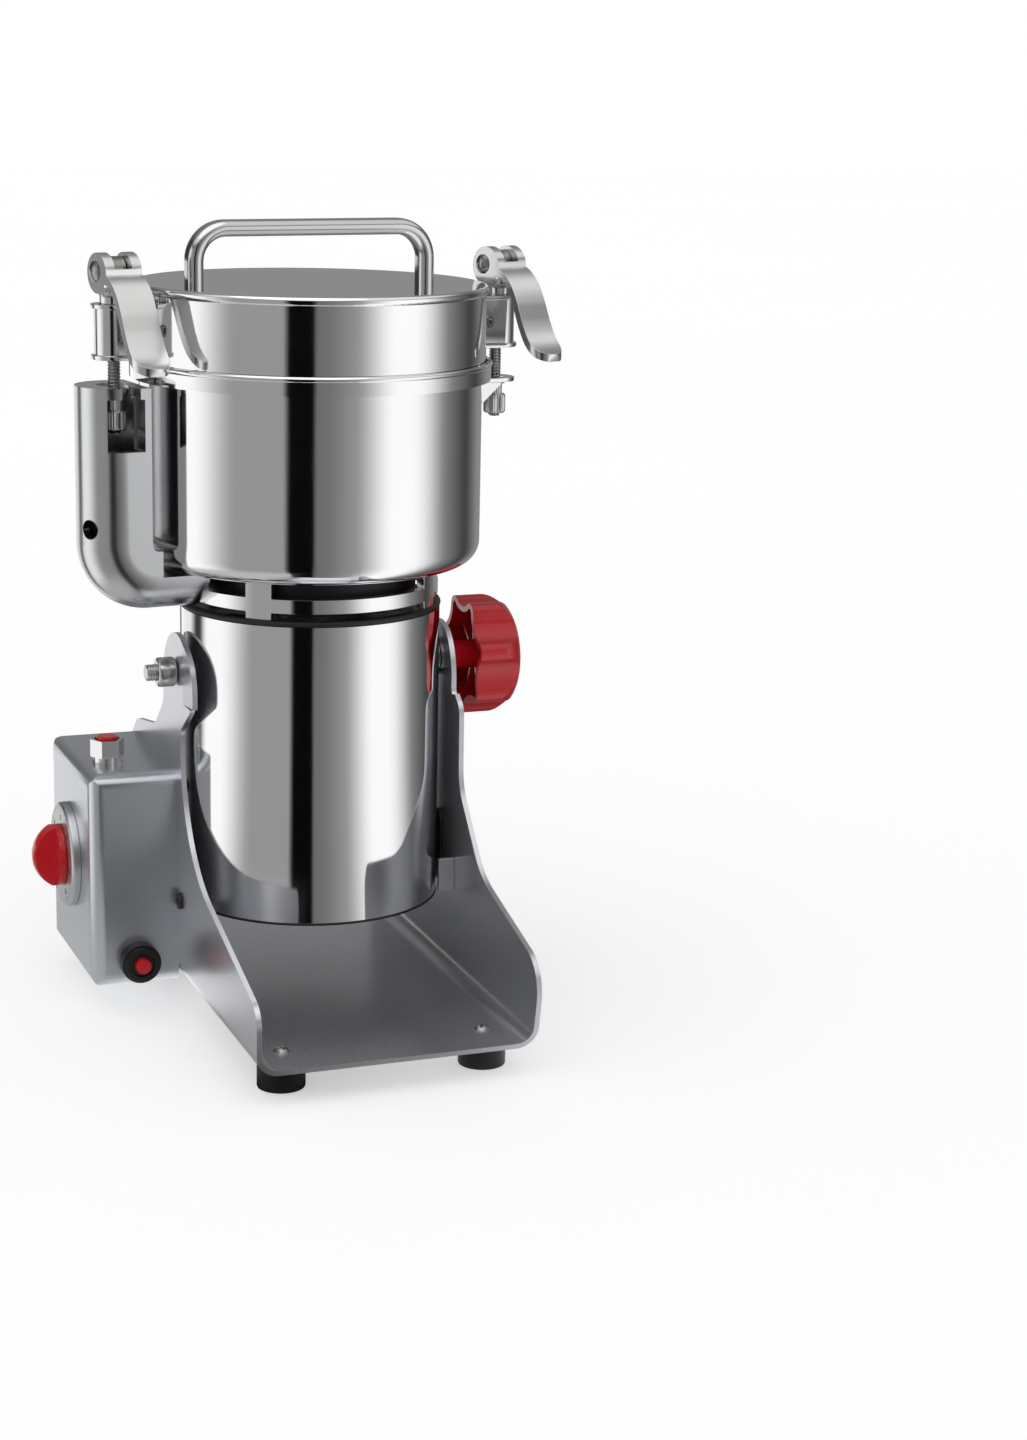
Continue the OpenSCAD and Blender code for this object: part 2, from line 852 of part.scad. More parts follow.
module stator_core() {
    color("dimgray") at_axis() translate([0, 0, core_z]) difference() {
        union() {
            ring(stator_r, stator_r - yoke_t, core_h);
            intersection() {
                cylinder(r = stator_r - yoke_t + over, h = core_h);
                translate([-stator_r, -pole_neck_w / 2, 0]) cube([2 * stator_r, pole_neck_w, core_h]);
            }
            intersection() {
                cylinder(r = pole_r + 4, h = core_h);
                translate([-stator_r, -pole_w / 2, 0]) cube([2 * stator_r, pole_w, core_h]);
            }
        }
        translate([0, 0, -over]) cylinder(r = pole_r, h = core_h + 2 * over);
    }
}

module field_coils() {
    x0 = pole_r + 4.2;
    w = coil_t;
    color("peru") at_axis() for (s = [-1, 1]) difference() {
        translate([s > 0 ? x0 : -x0 - w, -coil_w / 2, core_z - coil_end])
            cube([w, coil_w, core_h + 2 * coil_end]);
        translate([s > 0 ? x0 - over : -x0 - w - over, -pole_neck_w / 2 - fit, core_z - fit])
            cube([w + 2 * over, pole_neck_w + 2 * fit, core_h + 2 * fit]);
    }
}

module bearings() {
    color("silver") at_axis() for (z = [low_bearing_z, high_bearing_z])
        translate([0, 0, z]) ring(bearing_r, shaft_r + run, bearing_h);
}

hub_wall = 4;
hub_floor = 1.5;
air_hole_r = 9;
air_hole_at = 38;

module bracket(z, hub_up) {
    translate([0, 0, z]) difference() {
        union() {
            cylinder(r = can_r - fit, h = plate_t);
            translate([0, 0, hub_up ? 0 : plate_t - bearing_h - hub_floor])
                cylinder(r = bearing_r + hub_wall, h = bearing_h + hub_floor);
        }
        translate([0, 0, hub_up ? hub_floor : plate_t - bearing_h])
            cylinder(r = bearing_r + fit, h = bearing_h + over);
        translate([0, 0, -2 * bearing_h]) cylinder(r = shaft_r + 2, h = 4 * bearing_h);
        for (i = [0:7]) rotate(22.5 + i * 45)
            translate([air_hole_at, 0, -over]) cylinder(r = air_hole_r, h = plate_t + 2 * over);
    }
}

module bearing_brackets() {
    post_z = cover_z + cover_t + fit;
    color("darkgray") at_axis() {
        difference() {
            union() {
                bracket(low_plate_z, false);
                at_cover_screws() translate([0, 0, post_z]) cylinder(r = 4, h = low_plate_z + 1 - post_z);
            }
            at_cover_screws() translate([0, 0, post_z - over]) cylinder(r = screw_r, h = cover_screw_len);
        }
        bracket(high_bearing_z - hub_floor, true);
    }
}

brush_w = 6;
brush_h = 10;
brush_len = 22;
holder_t = 3;
holder_len = 34;
holder_leg = 8;

module brush_holders() {
    bracket_z = high_bearing_z - hub_floor;
    w = brush_w + 2 * holder_t;
    low = brush_z - brush_h / 2 - holder_t;
    start = commutator_r + 4;
    color("goldenrod") at_axis() for (a = [0, 180]) rotate(a) difference() {
        union() {
            translate([-w / 2, start, low]) cube([w, holder_len, brush_h + 2 * holder_t]);
            translate([-w / 2, start + holder_len - holder_leg, low]) cube([w, holder_leg, bracket_z - low]);
        }
        translate([-brush_w / 2, commutator_r, brush_z - brush_h / 2]) cube([brush_w, holder_len, brush_h]);
    }
}

module carbon_brushes() {
    color("dimgray") at_axis() for (a = [0, 180]) rotate(a)
        translate([-brush_w / 2 + fit, commutator_r + 0.1, brush_z - brush_h / 2 + fit])
            cube([brush_w - 2 * fit, brush_len, brush_h - 2 * fit]);
}

// ---- Rotor ----

shaft_top = blade_z + 2 * blade_t + blade_gap + 10;
shaft_tail = 3;
winding_low = 8;
winding_high = 5;

module motor_shaft() {
    color("silver") at_axis() translate([0, 0, low_bearing_z - shaft_tail])
        cylinder(r = shaft_r, h = shaft_top - low_bearing_z + shaft_tail);
}

module armature_core() {
    color("gray") at_axis() translate([0, 0, core_z]) difference() {
        cylinder(r = armature_r, h = core_h);
        translate([0, 0, -over]) cylinder(r = shaft_r + fit, h = core_h + 2 * over);
        for (i = [0:11]) rotate(i * 30)
            translate([armature_r - 8, -1.8, -over]) cube([10, 3.6, core_h + 2 * over]);
    }
}

module armature_winding() {
    color("peru") at_axis() {
        translate([0, 0, core_z - winding_low]) ring(armature_r - 6, shaft_r + fit, winding_low);
        translate([0, 0, core_z + core_h]) ring(armature_r - 6, shaft_r + fit, winding_high);
    }
}

module commutator() {
    color("chocolate") at_axis() translate([0, 0, commutator_z]) difference() {
        cylinder(r = commutator_r, h = commutator_h);
        translate([0, 0, -over]) cylinder(r = shaft_r + fit, h = commutator_h + 2 * over);
    }
}

fan_h = 13;
fan_t = 2;

module cooling_fan() {
    fan_r = can_r - 16;
    color("black") at_axis() translate([0, 0, fan_z]) difference() {
        union() {
            cylinder(r = fan_r, h = fan_t);
            cylinder(r = shaft_r + 5, h = fan_h);
            for (i = [0:9]) rotate(i * 36)
                translate([shaft_r + 3, -fan_t / 2, 0]) cube([fan_r - shaft_r - 4, fan_t, fan_h]);
        }
        translate([0, 0, -over]) cylinder(r = shaft_r + fit, h = fan_h + 2 * over);
    }
}

seal_r = 12;
seal_foot = 2;
seal_lip = 3;
skirt_r = min(50, vent_r - vent_wall - 4);
skirt_t = 2.5;

// The seal in the bowl's floor, with a skirt under it that keeps flour off the motor
module shaft_seal() {
    color("black") at_axis() {
        translate([0, 0, bowl_z - seal_foot]) ring(seal_r, shaft_r + run, seal_foot + bowl_t + seal_lip);
        translate([0, 0, bowl_z - seal_foot]) ring(skirt_r, seal_r - over, seal_foot - fit);
        translate([0, 0, vent_z + clear]) ring(skirt_r, skirt_r - skirt_t, vent_h - clear - fit);
    }
}

// A flat cutter with slanted ends
module blade(span) {
    translate([0, 0, blade_t / 2]) linear_extrude(blade_t, center = true) difference() {
        polygon([
            [-span, -3], [-span + 14, -10], [span - 6, -10],
            [span, 3], [span - 14, 10], [-span + 6, 10]
        ]);
        circle(shaft_r + fit);
    }
}

module blades() {
    color("silver") at_axis() {
        translate([0, 0, blade_z]) rotate(25) blade(bowl_r - 14);
        translate([0, 0, blade_z + blade_t + blade_gap]) rotate(115) blade(bowl_r - 20);
    }
}

spacer_r = 9;

module blade_spacer() {
    low_z = bowl_z + bowl_t + seal_lip + clear;
    color("silver") at_axis() {
        translate([0, 0, blade_z + blade_t]) ring(spacer_r, shaft_r + fit, blade_gap);
        translate([0, 0, low_z]) ring(spacer_r, shaft_r + fit, blade_z - low_z);
    }
}

blade_nut_r = 9.5;
blade_nut_h = 8;

module blade_nut() {
    color("silver") at_axis() translate([0, 0, blade_z + 2 * blade_t + blade_gap]) difference() {
        cylinder(r = blade_nut_r, h = blade_nut_h, $fn = 6);
        translate([0, 0, -over]) cylinder(r = shaft_r + fit, h = blade_nut_h + 2 * over);
    }
}

// ---- Bowl and lid ----

module bowl_profile() {
    seat_z = bowl_h - collar_h + 1;
    difference() {
        union() {
            translate([0, bowl_edge_r]) square([bowl_r, bowl_h - collar_h - bowl_edge_r]);
            square([bowl_r - bowl_edge_r, bowl_edge_r + over]);
            translate([bowl_r - bowl_edge_r, bowl_edge_r]) circle(bowl_edge_r);
            translate([0, bowl_h - collar_h]) square([collar_r, collar_h - 1.3]);
            translate([collar_r - 0.7, bowl_h - 1.3]) circle(1.3);
            translate([0, bowl_h - 1.4]) square([collar_r - 0.7, 1.4]);
        }
        translate([0, bowl_edge_r]) square([bowl_r - bowl_t, bowl_h]);
        translate([0, bowl_t]) square([bowl_r - bowl_edge_r, bowl_edge_r]);
        translate([bowl_r - bowl_edge_r, bowl_edge_r]) circle(bowl_edge_r - bowl_t);
        translate([0, seat_z]) square([collar_r - bowl_t, collar_h]);
        translate([-bowl_r - over, -over]) square([bowl_r + over + seal_r + fit, bowl_h + 2 * over]);
    }
}

module grinding_bowl() {
    color("silver") at_axis() translate([0, 0, bowl_z]) rotate_extrude($fn = 128) bowl_profile();
}

// The lid seal lies on the bowl's step, under the lid's skirt
seal_h = 2;
seat_z = rim_z - collar_h + 1;
skirt_z = seat_z + clear + seal_h;

module lid_shell() {
    h = lid_z - skirt_z;
    color("silver") at_axis() translate([0, 0, skirt_z]) rotate_extrude($fn = 128) difference() {
        union() {
            square([lid_r, h - 2.2]);
            translate([lid_r - 1, h - 2.2]) circle(2.2);
            translate([0, h - 2.4]) square([lid_r - 1, 2.4]);
        }
        translate([0, -over]) square([lid_r - bowl_t, h - bowl_t - 0.4 + over]);
        translate([-2 * lid_r, -over]) square([2 * lid_r, h + 2 * over]);
    }
}

seal_w = 3.5;

module lid_seal() {
    color("white") at_axis() translate([0, 0, skirt_z - seal_h]) ring(lid_r, lid_r - seal_w, seal_h);
}

// Bar section of the handle, standing on its inner edge at the given radius
module bar_section(r) {
    translate([r, -bar_d / 2]) rounded_rect(bar_h, bar_d, 2.6);
}

module lid_handle() {
    bend = 8;
    half = handle_w / 2 - bend - bar_h;
    leg = handle_h - bend - bar_h;
    color("silver") at_axis() rotate(clamp_turn) translate([0, 0, lid_z]) {
        for (s = [0, 180]) rotate(s) {
            translate([half, 0, 0]) linear_extrude(leg) bar_section(bend);
            translate([half, 0, leg]) rotate([90, 0, 0]) rotate_extrude(angle = 90) bar_section(bend);
        }
        translate([-half, 0, leg]) rotate([0, -90, 180]) linear_extrude(2 * half) bar_section(bend);
    }
}

module lug_section(r) {
    difference() {
        union() {
            translate([clamp_r, 0]) circle(r);
            translate([lid_r - 10, -r]) square([clamp_r - lid_r + 10, 2 * r]);
        }
        circle(lid_r + fit, $fn = 128);
        translate([clamp_r, 0]) circle(rod_r + 0.4);
    }
}

lug_r = 8.8;
lug_flange_r = 10.2;
lug_flange_h = 2;

module clamp_lugs() {
    flange = lug_flange_h;
    color("gainsboro") for (side = [0, 1]) on_clamp(side) translate([0, 0, lug_z]) difference() {
        union() {
            linear_extrude(lug_h) lug_section(lug_r);
            for (z = [0, lug_h - flange])
                translate([0, 0, z]) linear_extrude(flange) lug_section(lug_flange_r);
        }
        translate([lid_r - 1, -20, lug_h - 3 * flange]) cube([2, 40, 4 * flange]);
    }
}

// ---- Clamps ----

clamp_collar_r = 6.4;

module clamp_collar(side) {
    color("gainsboro") on_clamp(side) translate([clamp_r, 0, lug_z + lug_h + fit])
        ring(clamp_collar_r, rod_r + run, collar_top - lug_z - lug_h - fit);
}

module clamp_rod(side) {
    foot = nut_z - 1.5;
    color("dimgray") {
        at_lever(side) difference() {
            union() {
                y_rod(barrel_r, -barrel_w / 2, barrel_w / 2);
                translate([0, 0, foot - pin_z]) cylinder(r = rod_r, h = pin_z - foot);
            }
            y_rod(pin_r + fit, -barrel_w, barrel_w);
        }
    }
}

pin_head_r = 4.6;
pin_head_h = 1.6;
pin_dome_r = 7.4;

// The pivot pin with a domed head on each end
module lever_pin(side) {
    head_y = lever_w / 2 + 0.2;
    color("gray") at_lever(side) {
        y_rod(pin_r, -head_y - 0.5, head_y + 0.5);
        for (s = [0, 180]) rotate(s) translate([0, head_y, 0]) rotate([-90, 0, 0]) rotate_extrude()
            intersection() {
                translate([0, pin_head_h - pin_dome_r]) circle(pin_dome_r);
                square([pin_head_r, pin_head_h]);
            }
    }
}

// Middle line of the lever's handle, [out, up] from the pin
lever_path = [
    [3, -1.5], [11, -3], [18, -8.5], [23, -17],
    [27, -26], [31.5, -34], [37, -39], [lever_reach, -41.5]
];
handle_t = 3.6;

// Slot for the rod's barrel, and the height over the pin above which it is open outwards too
fork_w = barrel_w + 2 * clear;
fork_open_z = 1.5;

// The lobe beside the cam, with the rivet through it
tail_at = [9, 0, -7.3];
tail_r = 3.6;
rivet_r = 2.3;
rivet_head = 0.8;

function path_point(p, t) =
    let (
        n = len(p) - 1,
        i = min(floor(t), n - 1),
        f = t - i,
        a = p[max(i - 1, 0)], b = p[i], c = p[i + 1], d = p[min(i + 2, n)]
    )
    0.5 * (2 * b + (c - a) * f + (2 * a - 5 * b + 4 * c - d) * f * f + (3 * b - a - 3 * c + d) * f * f * f);

function path_side(p, t, shift) =
    let (
        step = 0.01,
        last = len(p) - 1,
        at = min(t, last - step),
        along = unit(path_point(p, at + step) - path_point(p, at))
    )
    path_point(p, t) + shift * [-along[1], along[0]];

module handle_outline() {
    steps = 28;
    last = len(lever_path) - 1;
    polygon(concat(
        [for (i = [0:steps]) path_side(lever_path, i * last / steps, handle_t / 2)],
        [for (i = [steps:-1:0]) path_side(lever_path, i * last / steps, -handle_t / 2)]
    ));
}

module clamp_lever(side) {
    half = lever_w / 2;
    color("lightgray") at_lever(side) difference() {
        union() {
            difference() {
                translate([0, half, 0]) rotate([90, 0, 0]) linear_extrude(lever_w) handle_outline();
                difference() {
                    translate([lever_reach - half, -lever_w, -60]) cube([lever_w, 2 * lever_w, 60]);
                    translate([lever_reach - half, 0, -70]) cylinder(r = half, h = 80);
                }
            }
            translate([cam_out, 0, -cam_down]) y_rod(cam_r, -half, half);
            translate(tail_at) {
                y_rod(tail_r, -half, half);
                y_rod(rivet_r, -half - rivet_head, half + rivet_head);
            }
        }
        y_rod(pin_r + run, -half - over, half + over);
        translate([-20, -fork_w / 2, -20]) cube([20 + barrel_r + 1.5, fork_w, 40]);
        translate([0, -fork_w / 2, fork_open_z]) cube([20, fork_w, 20]);
    }
}

module knurled_nut(side) {
    color("silver") on_clamp(side) translate([clamp_r, 0, nut_z]) difference() {
        union() {
            cylinder(r = nut_r, h = nut_h);
            translate([0, 0, nut_h]) cylinder(r = nut_neck_r, h = nut_neck_h - 1);
            translate([0, 0, nut_h + nut_neck_h - 1]) cylinder(r = nut_r - 0.4, h = 1);
        }
        translate([0, 0, -over]) cylinder(r = rod_r + run, h = nut_h + nut_neck_h + 2 * over);
    }
}

module left_collar() { clamp_collar(0); }
module right_collar() { clamp_collar(1); }
module left_clamp_rod() { clamp_rod(0); }
module right_clamp_rod() { clamp_rod(1); }
module left_lever_pin() { lever_pin(0); }
module right_lever_pin() { lever_pin(1); }
module left_clamp_lever() { clamp_lever(0); }
module right_clamp_lever() { clamp_lever(1); }
module left_knurled_nut() { knurled_nut(0); }
module right_knurled_nut() { knurled_nut(1); }

// ---- Arm and latch tab ----

flat_s = clamp_r - 11;
arm_bend_s = flat_s - 3;
arm_bend_z = vent_z + 1 + clamp_r + arm_r - arm_bend_s;

// D-shaped section of the arm, round side out
module arm_section(inset, from) {
    r = arm_r - inset;
    intersection() {
        union() {
            translate([clamp_r - from, 0]) circle(r);
            translate([flat_s + inset - from, -r]) square([clamp_r - flat_s - inset, 2 * r]);
        }
        translate([flat_s + inset - from, -r]) square([2 * r + 20, 2 * r]);
    }
}

// The arm as a duct: upright, round the bend and in under the bowl
module arm_duct(inset, top) {
    translate([0, 0, arm_bend_z]) linear_extrude(top - arm_bend_z) arm_section(inset, 0);
    translate([arm_bend_s, 0, arm_bend_z]) rotate([90, 0, 0]) rotate([0, 0, -90])
        rotate_extrude(angle = 90) arm_section(inset, arm_bend_s);
    translate([arm_foot_s, 0, arm_bend_z]) rotate([0, 90, 0])
        linear_extrude(arm_bend_s - arm_foot_s) arm_section(inset, arm_bend_s);
}

module bowl_room(grow) {
    translate([0, 0, bowl_z - 0.6 - grow]) cylinder(r = bowl_r + 3 + grow, h = bowl_h + 40, $fn = 128);
}

// A slot that follows the rod's path round the bowl axis, open at local +Y
module hook_slot(z0, z1) {
    translate([0, 0, z0]) {
        intersection() {
            ring(clamp_r + slot_w / 2, clamp_r - slot_w / 2, z1 - z0);
            translate([clamp_r - 30, 0, -over]) cube([60, 40, z1 - z0 + 2 * over]);
        }
        translate([clamp_r, 0, 0]) cylinder(r = slot_w / 2, h = z1 - z0);
    }
}

arm_foot_s = 40;
seat_r = 8;
seat_depth = 1.2;
window_w = 17;
wire_hole_r = 4.5;
wire_hole_turn = 29;

module switch_arm() {
    wire_hole_z = bowl_z + 22;
    color("gray") on_clamp(0) difference() {
        difference() {
            arm_duct(0, arm_top);
            bowl_room(0);
        }
        difference() {
            arm_duct(arm_t, hook_z);
            bowl_room(3);
        }
        cylinder(r = vent_r, h = bowl_z);
        hook_slot(hook_z - over, arm_top + over);
        translate([clamp_r, 0, arm_top - seat_depth]) cylinder(r = seat_r, h = seat_depth + over);
        translate([flat_s + 3, 6, window_z]) cube([window_w, arm_r + over, hook_z - window_z + fit]);
        translate([clamp_r, 0, wire_hole_z]) rotate([0, 90, wire_hole_turn])
            cylinder(r = wire_hole_r, h = 2 * arm_r);
    }
}

tab_t = 2;
tab_r = 9.5;
gusset_y = -7;
gusset_h = 17;

module latch_tab() {
    color("gainsboro") on_clamp(1) difference() {
        union() {
            translate([0, 0, hook_z]) linear_extrude(tab_t) {
                translate([clamp_r, 0]) circle(tab_r);
                translate([bowl_r - 10, -tab_r]) square([clamp_out + 10, 2 * tab_r]);
            }
            translate([0, gusset_y, 0]) rotate([90, 0, 0]) linear_extrude(tab_t) polygon([
                [bowl_r - 2, hook_z + over], [clamp_r - 1, hook_z + over],
                [clamp_r - 1, hook_z - 1], [bowl_r - 2, hook_z - gusset_h]
            ]);
        }
        cylinder(r = bowl_r, h = hook_z + 20, $fn = 128);
        hook_slot(hook_z - over, hook_z + tab_t + over);
    }
}

switch_size = [12, 10, 20];
plunger_size = [3, 3, 2.5];
plunger_at = 5;

// Interlock switch on the arm's flat inner wall, under the clamp rod
module microswitch() {
    top = window_z - 6;
    color("dimgray") on_clamp(0) translate([flat_s + arm_t, 0, top]) {
        translate([0, -switch_size[1] / 2, -switch_size[2]]) cube(switch_size);
        translate([plunger_at, -plunger_size[1] / 2, 0]) cube(plunger_size);
    }
}

base_frame();
rubber_feet();
foot_screws();
upright_stop();
stop_pad();
wall_grommet();
control_box();
box_screws();
cord_gland();
timer_body();
dial_plate();
breaker_body();
breaker_nut();
start_switch_body();
start_switch_collar();
timer_knob();
timer_shaft();
start_button();
reset_button();
tilt_knob();
motor_housing();
motor_end_cover();
cover_screws();
housing_gasket();
vent_ring();
grinding_bowl();
switch_arm();
latch_tab();
pivot_studs();
pivot_nuts();
stator_core();
field_coils();
bearings();
bearing_brackets();
brush_holders();
carbon_brushes();
shaft_seal();
microswitch();
motor_shaft();
armature_core();
armature_winding();
commutator();
cooling_fan();
blades();
blade_spacer();
blade_nut();
lid_shell();
lid_handle();
lid_seal();
clamp_lugs();
left_collar();
left_clamp_rod();
left_lever_pin();
left_clamp_lever();
left_knurled_nut();
right_collar();
right_clamp_rod();
right_lever_pin();
right_clamp_lever();
right_knurled_nut();
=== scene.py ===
"""Electric grain mill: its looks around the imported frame. Metres, +Z up, front towards -Y."""

import json
import math

import bmesh
import bpy
from mathutils import Matrix, Vector


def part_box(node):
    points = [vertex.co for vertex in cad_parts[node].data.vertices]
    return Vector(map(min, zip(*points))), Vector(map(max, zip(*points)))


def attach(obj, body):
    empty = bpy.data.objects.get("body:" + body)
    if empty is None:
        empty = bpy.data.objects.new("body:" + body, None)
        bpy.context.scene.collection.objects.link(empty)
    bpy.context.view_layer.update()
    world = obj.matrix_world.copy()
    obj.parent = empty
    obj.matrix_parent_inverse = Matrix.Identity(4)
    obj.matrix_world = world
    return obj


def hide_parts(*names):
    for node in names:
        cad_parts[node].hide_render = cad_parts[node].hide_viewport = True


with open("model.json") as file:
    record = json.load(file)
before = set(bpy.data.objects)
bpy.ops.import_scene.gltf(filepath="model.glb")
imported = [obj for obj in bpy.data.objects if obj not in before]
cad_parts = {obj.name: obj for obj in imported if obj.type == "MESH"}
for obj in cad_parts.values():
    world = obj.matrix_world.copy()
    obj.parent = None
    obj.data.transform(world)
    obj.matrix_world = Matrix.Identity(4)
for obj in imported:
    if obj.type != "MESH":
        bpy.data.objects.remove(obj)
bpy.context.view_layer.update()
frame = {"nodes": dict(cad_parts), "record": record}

MM = 0.001


def middle(node):
    """Centre of a CAD node's box."""
    low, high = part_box(node)
    return (low + high) / 2


AXIS = middle("housing_gasket") * Vector((1, 1, 0))    # foot of the bowl's axis
CLAMP_TURN = math.radians(7.05)                        # turn of the clamp line from the X axis
LEVER_AZ = {"left": math.radians(-75.5), "right": math.radians(-68.5)}
PIN_Z = middle("left_lever_pin").z
SIDES = ("left", "right")

BODY_OF = {node: body for body, nodes in frame["record"]["behaviour"]["bodies"].items() for node in nodes}
SLOT_OF = {part["node"]: part["material_slot"] for part in frame["record"]["subparts"]}

scene = bpy.context.scene
scene.view_settings.view_transform = "Standard"


# ---- Camera ----

CAMERA_FROM_AXIS = Vector((-378.652, -1243.163, 455.412)) * MM
CAMERA_FORWARD = Vector((0.35267, 0.90557, -0.23572)).normalized()
CAMERA_AZ = 0.371
CAMERA_ROLL = 0.021
LENS_MM = 69.245
SENSOR_MM = 36
NEAR_CLIP, FAR_CLIP = 0.05, 20


def make_camera():
    """The photo's camera, placed from the bowl's axis."""
    flat_right = Vector((math.cos(CAMERA_AZ), -math.sin(CAMERA_AZ), 0))
    flat_up = flat_right.cross(CAMERA_FORWARD)
    right = math.cos(CAMERA_ROLL) * flat_right + math.sin(CAMERA_ROLL) * flat_up
    up = math.cos(CAMERA_ROLL) * flat_up - math.sin(CAMERA_ROLL) * flat_right
    data = bpy.data.cameras.new("camera")
    data.lens = LENS_MM
    data.sensor_width = SENSOR_MM
    data.clip_start = NEAR_CLIP
    data.clip_end = FAR_CLIP
    camera = bpy.data.objects.new("camera", data)
    turn = Matrix((right, up, -CAMERA_FORWARD)).transposed().to_4x4()
    camera.matrix_world = Matrix.Translation(AXIS + CAMERA_FROM_AXIS) @ turn
    scene.collection.objects.link(camera)
    scene.camera = camera


# ---- Node helpers ----


class Nodes:
    """A node tree, with short calls for the nodes used here."""

    def __init__(self, tree, coordinates):
        self.tree = tree
        tree.nodes.clear()
        self.where = tree.nodes.new("ShaderNodeTexCoord").outputs[coordinates]

    def new(self, kind):
        return self.tree.nodes.new(kind)

    def link(self, source, target):
        self.tree.links.new(source, target)

    def put(self, value, socket):
        """Sets a number on the socket, or links another socket to it."""
        if isinstance(value, (int, float)):
            socket.default_value = value
        else:
            self.link(value, socket)

    def stretched(self, scale):
        """The coordinates with a scale of their own along each axis."""
        mapping = self.new("ShaderNodeMapping")
        mapping.inputs["Scale"].default_value = scale
        self.link(self.where, mapping.inputs["Vector"])
        return mapping.outputs["Vector"]

    def noise(self, scale, detail=4, rough=0.55, vector=None):
        texture = self.new("ShaderNodeTexNoise")
        texture.inputs["Scale"].default_value = scale
        texture.inputs["Detail"].default_value = detail
        texture.inputs["Roughness"].default_value = rough
        self.link(vector or self.where, texture.inputs["Vector"])
        return texture.outputs["Fac"]

    def math(self, operation, a, b=0.0):
        node = self.new("ShaderNodeMath")
        node.operation = operation
        self.put(a, node.inputs[0])
        self.put(b, node.inputs[1])
        return node.outputs["Value"]

    def mix(self, a, b, share):
        """share of a and the rest of b."""
        return self.math("ADD", self.math("MULTIPLY", a, share), self.math("MULTIPLY", b, 1 - share))

    def remap(self, value, low, high, to_low, to_high, smooth=False):
        node = self.new("ShaderNodeMapRange")
        if smooth:
            node.interpolation_type = "SMOOTHSTEP"
        for name, number in zip(("From Min", "From Max", "To Min", "To Max"), (low, high, to_low, to_high)):
            node.inputs[name].default_value = number
        self.link(value, node.inputs["Value"])
        return node.outputs["Result"]

    def ramp(self, value, *stops):
        node = self.new("ShaderNodeValToRGB")
        elements = node.color_ramp.elements
        while len(elements) < len(stops):
            elements.new(0.5)
        for element, (at, color) in zip(elements, stops):
            element.position = at
            element.color = (*color, 1)
        self.link(value, node.inputs["Fac"])
        return node.outputs["Color"]

    def path(self, *rays):
        """1 where the ray is one of these kinds, such as "Is Camera Ray"."""
        node = self.new("ShaderNodeLightPath")
        value = node.outputs[rays[0]]
        for ray in rays[1:]:
            value = self.math("MAXIMUM", value, node.outputs[ray])
        return value


NOISE_LOW, NOISE_HIGH = 0.3, 0.7       # a noise texture seldom leaves this range


class Surface(Nodes):
    """A material with one Principled shader."""

    def __init__(self, name, **values):
        self.material = bpy.data.materials.new(name)
        self.material.use_nodes = True
        super().__init__(self.material.node_tree, "Object")
        self.output = self.new("ShaderNodeOutputMaterial")
        self.shader = self.new("ShaderNodeBsdfPrincipled")
        for socket, value in values.items():
            self.shader.inputs[socket.replace("_", " ")].default_value = value
        self.link(self.shader.outputs["BSDF"], self.output.inputs["Surface"])

    def feed(self, socket, value):
        self.link(value, self.shader.inputs[socket])

    def mottled(self, color, spread, scale):
        """Base colour that wanders a little about its middle value."""
        low, high = shade(color, 1 - spread), shade(color, 1 + spread)
        self.feed("Base Color", self.ramp(self.noise(scale), (NOISE_LOW, low), (NOISE_HIGH, high)))

    def roughness(self, value, low, high):
        """Roughness that follows a noise, from low to high over the part of its range that it mostly keeps to."""
        self.feed("Roughness", self.remap(value, NOISE_LOW, NOISE_HIGH, low, high))

    def bump(self, height, strength, distance):
        node = self.new("ShaderNodeBump")
        node.inputs["Strength"].default_value = strength
        node.inputs["Distance"].default_value = distance
        self.link(height, node.inputs["Height"])
        self.feed("Normal", node.outputs["Normal"])


def shade(color, factor):
    """The colour times this factor, with no channel over 1."""
    return tuple(min(1, c * factor) for c in color)


# ---- Materials ----

# Stretches of the grain along X, Y and Z
POLISHED_UPRIGHT = (900, 900, 30)
LAMINATED = (40, 40, 2600)
WOUND = (300, 300, 1800)
LATHED = (300, 300, 3000)


def polished_steel(name, color=(0.83, 0.83, 0.84), rough=0.06):
    """Mirror-polished stainless, with faint upright polishing marks and soft smears."""
    s = Surface(name, Metallic=1.0)
    s.mottled(color, 0.015, 14)
    marks = s.noise(1.0, 3, 0.5, s.stretched(POLISHED_UPRIGHT))
    smears = s.noise(24, 5, 0.6)
    s.roughness(s.mix(marks, smears, 0.35), rough * 0.75, rough * 1.45)
    s.bump(marks, 0.04, 0.0001)
    return s.material


def satin_metal(name, color, rough, grain=3000, bump=0.05, stretch=None):
    """Cast, plated or brushed metal with a fine grain."""
    s = Surface(name, Metallic=1.0)
    s.mottled(color, 0.025, 30)
    fine = s.noise(grain, 2, 0.5, s.stretched(stretch) if stretch else None)
    s.roughness(s.mix(fine, s.noise(18, 3), 0.4), rough * 0.88, rough * 1.14)
    s.bump(fine, bump, 0.00005)
    return s.material


def silver_paint(name, color):
    """Sprayed silver paint: fine metal flake under a soft clear layer, with light orange peel."""
    s = Surface(name, Metallic=0.88, Coat_Weight=0.25, Coat_Roughness=0.12)
    flake = s.noise(5200, 2, 0.7)
    mixed = s.mix(flake, s.noise(9, 3), 0.55)
    s.feed("Base Color", s.ramp(mixed, (0.32, shade(color, 0.92)), (0.68, shade(color, 1.08))))
    s.roughness(flake, 0.25, 0.32)
    s.bump(s.noise(420, 3), 0.06, 0.0002)
    return s.material


